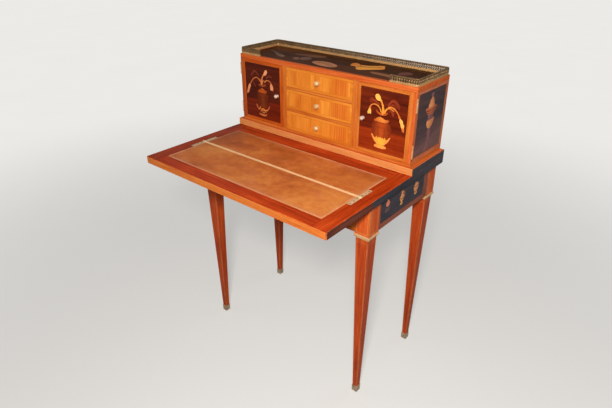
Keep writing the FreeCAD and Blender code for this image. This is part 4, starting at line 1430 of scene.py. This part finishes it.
@dataclass
class TopUtensils:
    """The quiet picture on the cabinet's top: a quill, trays and a two-handled cup."""

    plane: float

    def veneer(self, wood: str, light: Colour, shade: Colour, middle: float, reach: float) -> InlayWood:
        """Mixes one of the picture's veneers, shaded from its middle outwards, in millimetres."""
        return InlayWood(f"top_{wood}_veneer", light, shade, middle * MM, reach * MM)

    def build(self) -> None:
        """Cuts the things that lie on it, from left to right."""
        grey = self.veneer("grey", tone(152, 104, 80), tone(102, 68, 50), -190, 110)
        brown = self.veneer("brown", tone(122, 74, 48), tone(88, 52, 34), -110, 120)
        tan = self.veneer("tan", tone(204, 132, 88), tone(150, 92, 58), -24, 160)
        amber = self.veneer("amber", tone(255, 170, 62), tone(222, 120, 46), 118, 90)
        plum = self.veneer("plum", tone(118, 62, 52), tone(86, 44, 38), 220, 90)
        quill = [
            (-302, 222), (-290, 222), (-262, 208), (-238, 194), (-192, 163), (-209, 163), (-252, 189),
            (-278, 207),
        ]
        quill_rib = ribbon([(-296, 218), (-256, 200), (-222, 178), (-196, 164)], [0.4, 0.9, 0.8, 0.4])
        tray = [(-193, 226), (-163, 243), (-124, 253), (-72, 248), (-78, 238), (-99, 225), (-142, 219)]
        bead = [(-151, 167), (-155, 180), (-146, 188), (-134, 177), (-126, 160), (-138, 158)]
        saucer = [(-135, 182), (-132, 205), (-112, 213), (-98, 196), (-97, 182), (-112, 167)]
        shell = [(-69, 168), (-64, 186), (-31, 195), (2, 188), (30, 168), (27, 150), (-2, 143), (-39, 149)]
        shell_lines = [
            ribbon([(-60, 172), (-30, 172), (6, 162), (22, 154)], [0.6, 1.0, 0.9, 0.5]),
            ribbon([(-54, 184), (-26, 182), (4, 176)], [0.5, 0.9, 0.5]),
        ]
        cup = [
            (58, 204), (45, 224), (44, 240), (56, 244), (72, 233), (86, 233), (105, 238), (124, 252),
            (141, 263), (154, 246), (163, 228), (148, 210), (133, 198), (116, 184), (101, 175),
            (90, 183), (80, 196), (70, 206),
        ]
        cup_lines = [
            ribbon([(84, 214), (106, 216), (130, 230), (146, 242)], [0.8, 1.6, 1.6, 0.8]),
            ribbon([(78, 204), (80, 216), (78, 230)], [0.6, 1.2, 0.6]),
        ]
        spoon = [
            (150, 175), (168, 180), (196, 180), (224, 173), (231, 158), (210, 158), (186, 160),
            (160, 164),
        ]
        leaf = [(227, 203), (226, 228), (240, 240), (260, 229), (256, 208)]
        cutter = Cutter(Face.TOP, Vector((0, 0, self.plane)), "desk", "top_marquetry")
        for part, outlines, veneer in (
            ("quill", [quill, saucer, bead], grey),
            ("tray", [tray], brown),
            ("shell", [shell], tan),
            ("cup", [cup], amber),
            ("spoon", [spoon], tan),
            ("leaf", [leaf], plum),
            ("shading", [quill_rib, *shell_lines, *cup_lines], brown),
        ):
            cutter.lay(f"top_marquetry_{part}", outlines, veneer)


def turned(sides: int, profile: list[Point]) -> bpy.types.Object:
    """Models a turned or square upright by extruding and sizing a ring of edges.

    Args:
        sides: How many sides it has.
        profile: Its height and its radius at each ring, in metres, from the bottom.

    Returns:
        The upright, standing on the origin.
    """
    nothing_selected()
    height, radius = profile[0]
    foot = (0, 0, height)
    bpy.ops.mesh.primitive_circle_add(vertices=sides, radius=radius, fill_type="NGON", location=foot)
    upright = bpy.context.object
    bpy.ops.object.mode_set(mode="EDIT")
    bpy.ops.mesh.select_all(action="SELECT")
    for next_height, next_radius in profile[1:]:
        bpy.ops.mesh.extrude_region_move(TRANSFORM_OT_translate={"value": (0, 0, next_height - height)})
        share = next_radius / radius
        bpy.ops.transform.resize(value=(share, share, 1))
        height, radius = next_height, next_radius
    close_up()
    upright.data.transform(upright.matrix_world)
    upright.matrix_world = Matrix.Identity(4)
    return upright


@dataclass(frozen=True)
class Bar:
    """One bar of the gallery's section.

    Low is its underside above the foot, shift how far its middle lies inwards, and softness the share of its
    height that rounds its long edges.
    """

    low: float
    height: float
    width: float
    shift: float = 0.0
    softness: float = 0.22

    def straight(self, start: Vector, end: Vector, inward: Vector) -> bpy.types.Object:
        """Draws the bar along a straight length.

        Args:
            start: The middle of the length's foot at one end.
            end: The same at the other end.
            inward: The way to the middle of the cabinet's top, one unit long.

        Returns:
            The bar.
        """
        nothing_selected()
        run = end - start
        middle = (start + end) / 2 + inward * self.shift + Vector((0, 0, self.low + self.height / 2))
        along_x = abs(run.x) > abs(run.y)
        flat = (run.length, self.width) if along_x else (self.width, run.length)
        bpy.ops.mesh.primitive_cube_add(size=1.0, location=middle, scale=(*flat, self.height))
        bar = bpy.context.object
        bpy.ops.object.transform_apply(location=True, rotation=False, scale=True)
        soften = bar.modifiers.new("soften", "BEVEL")
        soften.width = self.height * self.softness
        soften.segments = 3
        bpy.ops.object.modifier_apply(modifier=soften.name)
        return bar

    def bent(self, radius: float) -> bpy.types.Object:
        """Draws the bar through a quarter turn, by spinning its softened section.

        Args:
            radius: The radius of the gallery's middle line.

        Returns:
            The bar, about the origin, from +X to -Y.
        """
        nothing_selected()
        bpy.ops.mesh.primitive_plane_add(size=1.0, rotation=(math.pi / 2, 0, 0))
        bar = bpy.context.object
        bpy.ops.object.transform_apply(location=True, rotation=True, scale=True)
        bpy.ops.object.mode_set(mode="EDIT")
        bpy.ops.mesh.select_all(action="SELECT")
        bpy.ops.transform.resize(value=(self.width, 1, self.height))
        bpy.ops.mesh.bevel(affect="VERTICES", offset=self.height * self.softness, segments=3)
        bpy.ops.mesh.select_all(action="SELECT")
        bpy.ops.transform.translate(value=(radius - self.shift, 0, self.low + self.height / 2))
        bpy.ops.mesh.spin(steps=12, angle=math.pi / 2, center=(0, 0, 0), axis=(0, 0, 1))
        close_up()
        return bar


@dataclass
class Gallery:
    """The pierced brass gallery round three sides of the cabinet's top, with rounded corners."""

    post_side: float = 6.5 * MM
    bead_half: float = 1.6 * MM
    base_height: float = 6.0 * MM
    base_width: float = 5.4 * MM
    ledge_height: float = 2.4 * MM
    ledge_width: float = 9.0 * MM
    rail_height: float = 4.4 * MM
    rail_width: float = 4.6 * MM
    rail_drop: float = 0.6 * MM
    pitch: float = 7.6 * MM
    lap: float = 1.0 * MM
    bite: float = 0.4 * MM

    def top_low(self, rise: float) -> float:
        """Returns the height of the top rail's underside above the foot."""
        return rise - self.rail_height - self.rail_drop

    def bars(self, rise: float) -> list[Bar]:
        """Lists the bars of the section.

        Args:
            rise: The gallery's height.

        Returns:
            The ledge, the base and the top rail.
        """
        seat = self.ledge_height / 2
        return [
            Bar(0.0, self.ledge_height, self.ledge_width, (self.ledge_width - self.base_width) / 2),
            Bar(seat, self.base_height - seat, self.base_width),
            Bar(self.top_low(rise), self.rail_height, self.rail_width),
        ]

    def balusters(self, places: list[Vector], rise: float) -> list[bpy.types.Object]:
        """Turns one baluster and copies it to its places.

        Args:
            places: The foot of each one.
            rise: The gallery's height.

        Returns:
            The balusters.
        """
        low = self.base_height - self.bite
        span = self.top_low(rise) + self.bite - low
        profile = [
            (0.0, 3.4), (0.16, 3.4), (0.24, 2.7), (0.46, 3.5), (0.66, 3.3), (0.84, 2.6), (0.9, 3.3),
            (1.0, 3.4),
        ]
        model = turned(8, [(low + share * span, radius * MM) for share, radius in profile])
        copies = []
        for place in places:
            copy = bpy.data.objects.new("baluster", model.data.copy())
            copy.data.transform(Matrix.Translation(place))
            bpy.context.scene.collection.objects.link(copy)
            copies.append(copy)
        bpy.data.objects.remove(model)
        return copies

    def post(self, foot: Vector, rise: float) -> bpy.types.Object:
        """Models one square post with a stepped foot and cap.

        Args:
            foot: The middle of its foot.
            rise: Its height.

        Returns:
            The post.
        """
        corner = self.post_side / 2 * math.sqrt(2)
        profile = [
            (0.0, 1.0), (0.3, 1.0), (0.34, 0.8), (0.72, 0.8), (0.77, 1.0), (0.9, 1.0), (0.96, 0.7),
            (1.0, 0.3),
        ]
        post = turned(4, [(height * rise, share * corner) for height, share in profile])
        post.data.transform(Matrix.Translation(foot) @ Matrix.Rotation(math.pi / 4, 4, "Z"))
        return post

    def run(self, start: Vector, end: Vector, rise: float, inward: Vector) -> list[bpy.types.Object]:
        """Models one straight length, whose bars lap into what they meet.

        Args:
            start: The middle of its foot at one end.
            end: The same at the other end.
            rise: The gallery's height.
            inward: The way to the middle of the cabinet's top, one unit long.

        Returns:
            Its parts.
        """
        lap = (end - start).normalized() * self.lap
        count = max(round((end - start).length / self.pitch), 1)
        places = [start.lerp(end, (index + 0.5) / count) for index in range(count)]
        bars = [bar.straight(start - lap, end + lap, inward) for bar in self.bars(rise)]
        return bars + self.balusters(places, rise)

    def bend(self, centre: Vector, radius: float, rise: float, quarter: int) -> list[bpy.types.Object]:
        """Models one rounded corner.

        Args:
            centre: The centre of the turn, at the foot.
            radius: The radius of the gallery's middle line.
            rise: The gallery's height.
            quarter: How many quarter turns it lies from the front right corner.

        Returns:
            Its parts.
        """
        count = round(radius * math.pi / 2 / self.pitch)
        angles = [-math.pi / 2 * (index + 0.5) / count for index in range(count)]
        places = [Vector((radius * math.cos(angle), radius * math.sin(angle), 0)) for angle in angles]
        parts = [bar.bent(radius) for bar in self.bars(rise)] + self.balusters(places, rise)
        for part in parts:
            part.data.transform(Matrix.Translation(centre) @ Matrix.Rotation(quarter * math.pi / 2, 4, "Z"))
        return parts

    def piece(self, name: str, parts: list[bpy.types.Object], replaced: str, finish: Finish) -> None:
        """Joins the parts of one piece, which then stands for a CAD node.

        Args:
            name: The piece's name.
            parts: Its parts.
            replaced: The node that it stands for.
            finish: Its finish.
        """
        piece = joined(parts, name)
        bpy.ops.object.shade_smooth_by_angle(angle=math.radians(40))
        piece.data.materials.clear()
        piece.data.materials.append(finish.material())
        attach(piece, "desk")
        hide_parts(replaced)
        LOG.info("%s: %d parts", name, len(parts))

    def build(self) -> None:
        """Models the back, the two sides and the two returns, on the middle line of the CAD's rails."""
        low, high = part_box("gallery_back")
        side, back, foot = high.x - self.bead_half, high.y - self.bead_half, low.z
        rise = high.z - foot
        returns_low, returns_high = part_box("gallery_front_returns")
        near, turn = returns_low.y + self.post_side / 2, returns_high.x
        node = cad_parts["gallery_front_returns"]
        inner = min(abs((node.matrix_world @ corner.co).x) for corner in node.data.vertices)
        post = inner + self.post_side / 2
        radius = side - turn
        brass = GalleryBrass("gallery_brass_pierced", foot + self.base_height)
        backs = self.run(Vector((-turn, back, foot)), Vector((turn, back, foot)), rise, Vector((0, -1, 0)))
        sides: list[bpy.types.Object] = []
        returns: list[bpy.types.Object] = []
        for sign, rear_quarter, front_quarter in ((-1, 2, 3), (1, 1, 0)):
            front_end, rear_end = (Vector((sign * side, y, foot)) for y in (near + radius, back - radius))
            backs += self.bend(Vector((sign * turn, back - radius, foot)), radius, rise, rear_quarter)
            sides += self.run(front_end, rear_end, rise, Vector((-sign, 0, 0)))
            sides += self.bend(Vector((sign * turn, near + radius, foot)), radius, rise, front_quarter)
            last = Vector((sign * post, near, foot))
            returns += self.run(last, Vector((sign * turn, near, foot)), rise, Vector((0, 1, 0)))
            returns.append(self.post(last, rise))
        self.piece("gallery_back_pierced", backs, "gallery_back", brass)
        self.piece("gallery_sides_pierced", sides, "gallery_sides", brass)
        self.piece("gallery_returns_pierced", returns, "gallery_front_returns", brass)


def twins(stem: str) -> tuple[tuple[str, float], tuple[str, float]]:
    """Finds the outer faces of a part that the desk has on its right and on its left.

    Args:
        stem: The node's name without its side.

    Returns:
        The right node and the left one, each with the plane of its outer face.
    """
    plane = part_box(f"{stem}_right")[1].x
    return (f"{stem}_right", plane), (f"{stem}_left", -plane)


def margins(node: str, across: Axis, up: Axis, *gaps: float) -> tuple[float, float, float, float]:
    """Works out the edges of a field from its margins on a node.

    Args:
        node: The node.
        across: The axis that runs across the face.
        up: The axis that runs up it.
        gaps: The margins at the left, the right, the bottom and the top, in millimetres. Where one is
            under nought, the field runs on past that edge.

    Returns:
        The places of the four edges, in the same order.
    """
    low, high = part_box(node)
    left, right, bottom, top = (gap * MM for gap in gaps)
    a, b = across.value, up.value
    return low[a] + left, high[a] - right, low[b] + bottom, high[b] - top


@dataclass
class DeskFinishes:
    """Dresses the CAD nodes, each in its own finish.

    The ground of a door's picture starts at its own height, and so does the painted sheen on a cabinet
    side's field; a door's banding ends at a distance from the cabinet's middle. A board's edge that is
    hidden in the seam is given as one a metre away.
    """

    # Where the painted sheen on the cabinet sides' fields ends, and how softly.
    side_sheen_height: float = 870.0 * MM
    side_sheen_blend: float = 70.0 * MM
    door_ground: float = 857.0 * MM
    door_outer: float = 332.0 * MM
    door_margin: float = 11.0 * MM
    plinth_end: float = 14.0 * MM
    hidden: float = 1.0

    def legs(self) -> None:
        """Strung mahogany legs; their brass collars and sabots are dressed with the metal."""
        low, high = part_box("leg_front_right")
        rear_low, rear_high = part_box("leg_rear_right")
        front, rear = (low.y + high.y) / 2, (rear_low.y + rear_high.y) / 2
        centre = ((low.x + high.x) / 2, (front + rear) / 2)
        block_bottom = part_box("leg_collars")[1].z
        LegVeneer("leg_veneer_strung", centre, (rear - front) / 2, block_bottom, high.z).dress(
            "leg_front_left", "leg_front_right", "leg_rear_left", "leg_rear_right"
        )

    def frieze(self) -> None:
        """Side friezes with dark fields, plain front and back, drawer and lopers."""
        for node, plane in twins("apron"):
            edges = margins("apron_right", Axis.Y, Axis.Z, 7, 29, 19, -5)
            PanelVeneer(
                f"{node}_panel", Axis.Y, Axis.X, plane, *edges, PINK_WOOD, EBONISED,
                line=tone(30, 22, 26), base_wood=OAK,
            ).dress(node)
        PlainVeneer("frieze_plain", TULIPWOOD, Axis.X).dress(
            "apron_back", "front_rail_lower", "front_rail_upper", "front_stiles"
        )
        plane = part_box("frieze_drawer_front")[0].y
        edges = margins("frieze_drawer_front", Axis.X, Axis.Z, 14, 14, 12, 12)
        PanelVeneer(
            "frieze_drawer_panel", Axis.X, Axis.Y, plane, *edges, TULIPWOOD, RED_MAHOGANY,
            line=tone(240, 190, 130), base_wood=OAK,
        ).dress("frieze_drawer_front")
        PlainVeneer("carcase_oak_plain", OAK, Axis.Y, 0.6, 0.0).dress(
            "drawer_runners", "loper_guides", "frieze_drawer_box", "loper_left", "loper_right",
            "small_drawer_1_box", "small_drawer_2_box", "small_drawer_3_box",
        )

    def writing_surface(self) -> None:
        """The two boards and their leather."""
        low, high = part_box("flap_board")
        rear_low, rear_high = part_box("desk_top")
        leather_low, leather_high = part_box("leather_flap")
        leather_end, leather_rear = leather_high.x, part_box("leather_rear")[1].y
        BoardVeneer(
            "flap_mahogany", high.x, leather_end, low.y, high.y + self.hidden, end=SMOKED_MAHOGANY
        ).dress("flap_board")
        BoardVeneer(
            "top_mahogany", rear_high.x, leather_end, rear_low.y - self.hidden, rear_high.y
        ).dress("desk_top")
        Leather("writing_leather_tan", leather_end, leather_low.y, leather_rear).dress(
            "leather_flap", "leather_rear"
        )

    def cabinet(self) -> None:
        """The plinth, the carcase and the drawers."""
        low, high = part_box("plinth_board")
        BoardVeneer(
            "plinth_salmon", high.x, high.x - self.plinth_end, low.y, high.y, ORANGE_RAIL, SALMON_WOOD,
            left_shade=0.0,
        ).dress("plinth_board")
        PlainVeneer("carcase_rails", TULIPWOOD, Axis.X).dress("cabinet_base", "drawer_dividers")
        PlainVeneer("carcase_uprights", TULIPWOOD, Axis.Z).dress("cabinet_partitions")
        PlainVeneer("cabinet_back_wood", MAHOGANY, Axis.X).dress("cabinet_back")
        for node, plane in twins("cabinet_side"):
            edges = margins("cabinet_side_right", Axis.Y, Axis.Z, 11, 16, 15, 10)
            # The lighter lower part of each side's field is a painted sheen.
            PanelVeneer(
                f"{node}_panel", Axis.Y, Axis.X, plane, *edges, ROSE_TULIPWOOD, SMOKED_ROSEWOOD,
                SHEEN_ROSEWOOD, self.side_sheen_height, self.side_sheen_blend, line=tone(70, 34, 26),
                base_wood=ORANGE_RAIL,
            ).dress(node)
        edges = margins("cabinet_top", Axis.X, Axis.Y, 12, 12, 14, 6)
        PanelVeneer(
            "cabinet_top_panel", Axis.X, Axis.Z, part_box("cabinet_top")[1].z, *edges, ORANGE_RAIL,
            BROWN_EBONISED, up=Axis.Y, base_wood=ORANGE_RAIL, shine=0.4,
        ).dress("cabinet_top")
        for index in (1, 2, 3):
            low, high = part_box(f"small_drawer_{index}_front")
            DrawerVeneer(f"drawer_{index}_satinwood", high.x, low.z, high.z - low.z, index * 2.0).dress(
                f"small_drawer_{index}_front"
            )

    def doors(self) -> None:
        """The two doors, the left one in woods darkened as painted shade, each field from its left edge to
        its right one.
        """
        for side, left, right, frame_wood, outer_wood, field_wood, lower_wood in (
            # The left door's woods are darkened as painted shade.
            ("left", -322.5, -162.5, SHADED_AMBER_WOOD, SHADED_RAIL, SHADED_ROSEWOOD, SHADED_RED_ROSEWOOD),
            ("right", 161.5, 318.5, TULIPWOOD, ORANGE_RAIL, DARK_ROSEWOOD, RED_ROSEWOOD),
        ):
            low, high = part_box(f"door_{side}_leaf")
            bottom, top = low.z + self.door_margin, high.z - self.door_margin
            PanelVeneer(
                f"door_{side}_panel", Axis.X, Axis.Y, low.y, left * MM, right * MM, bottom, top,
                frame_wood, field_wood, lower_wood, self.door_ground, base_wood=outer_wood,
                outer_wood=outer_wood, outer=self.door_outer,
            ).dress(f"door_{side}_leaf")

    def metal(self) -> None:
        """The collars, sabots, seam strips, hinges, screws and knobs, and the CAD's own gallery."""
        for finish, nodes in (
            (Brass("collar_brass", tone(240, 194, 142), tone(204, 152, 104), metal=0.4), ["leg_collars"]),
            (Brass("sabot_brass", tone(214, 188, 156), tone(128, 106, 86)), ["leg_sabots"]),
            (
                Brass("seam_strip_brass", tone(255, 214, 158), tone(252, 178, 122), 0.46, metal=0.15),
                ["seam_strip_rear", "seam_strip_flap"],
            ),
            (
                Brass("hinge_brass_aged", tone(240, 212, 168), tone(172, 140, 96), 0.42, metal=0.4),
                ["flap_hinge_rear_leaves", "flap_hinge_front_leaves", "flap_hinge_pins"],
            ),
            (
                Brass("butt_hinge_brass", tone(240, 186, 136), tone(190, 128, 84), 0.4, metal=0.5),
                [
                    "door_hinge_frame_leaves", "door_hinge_pins", "door_left_hinge_leaves",
                    "door_right_hinge_leaves",
                ],
            ),
            (
                Brass("screw_brass", tone(206, 172, 120), tone(134, 106, 72), 0.4),
                ["rear_hinge_screws", "flap_hinge_screws"],
            ),
            (
                Brass("door_knob_metal", tone(226, 206, 184), tone(176, 152, 128), 0.5, metal=0.3),
                ["door_left_knob", "door_right_knob"],
            ),
            (
                Brass("drawer_knob_bronze", tone(230, 194, 140), tone(182, 138, 84), 0.5, metal=0.35),
                [
                    "small_drawer_1_knob", "small_drawer_2_knob", "small_drawer_3_knob",
                    "frieze_drawer_knob", "loper_left_knob", "loper_right_knob",
                ],
            ),
            (
                GalleryBrass("gallery_brass_plain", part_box("gallery_back")[0].z),
                ["gallery_back", "gallery_sides", "gallery_front_returns"],
            ),
        ):
            finish.dress(*nodes)

    def build(self) -> None:
        """Dresses everything."""
        self.legs()
        self.frieze()
        self.writing_surface()
        self.cabinet()
        self.doors()
        self.metal()
        LOG.info("dressed %d CAD nodes", len(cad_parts))


def main() -> None:
    """Builds the studio, the finishes and the marquetry in order."""
    Studio().build()
    DeskFinishes().build()
    Gallery().build()
    for urn, side, foot_x, foot_z in (
        (ShadedFlowerUrn, "left", -242.5, 802.5),
        (FlowerUrn, "right", 238.0, 803.8),
    ):
        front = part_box(f"door_{side}_leaf")[0].y
        urn(f"door_{side}_marquetry", f"door_{side}", Vector((foot_x * MM, front, foot_z * MM))).build()
    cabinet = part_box("cabinet_side_right")[1].x
    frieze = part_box("apron_right")[1].x
    for side, face, sign in (("right", Face.RIGHT, 1), ("left", Face.LEFT, -1)):
        SideUrn(f"cabinet_{side}_urn", face, Vector((sign * cabinet, 205 * MM, 800 * MM))).build()
        FriezeVases(f"frieze_{side}", face, sign * frieze).build()
    TopUtensils(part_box("cabinet_top")[1].z).build()


if __name__ == "__main__":
    logging.basicConfig(level=logging.INFO, format="%(name)s: %(message)s")
    main()
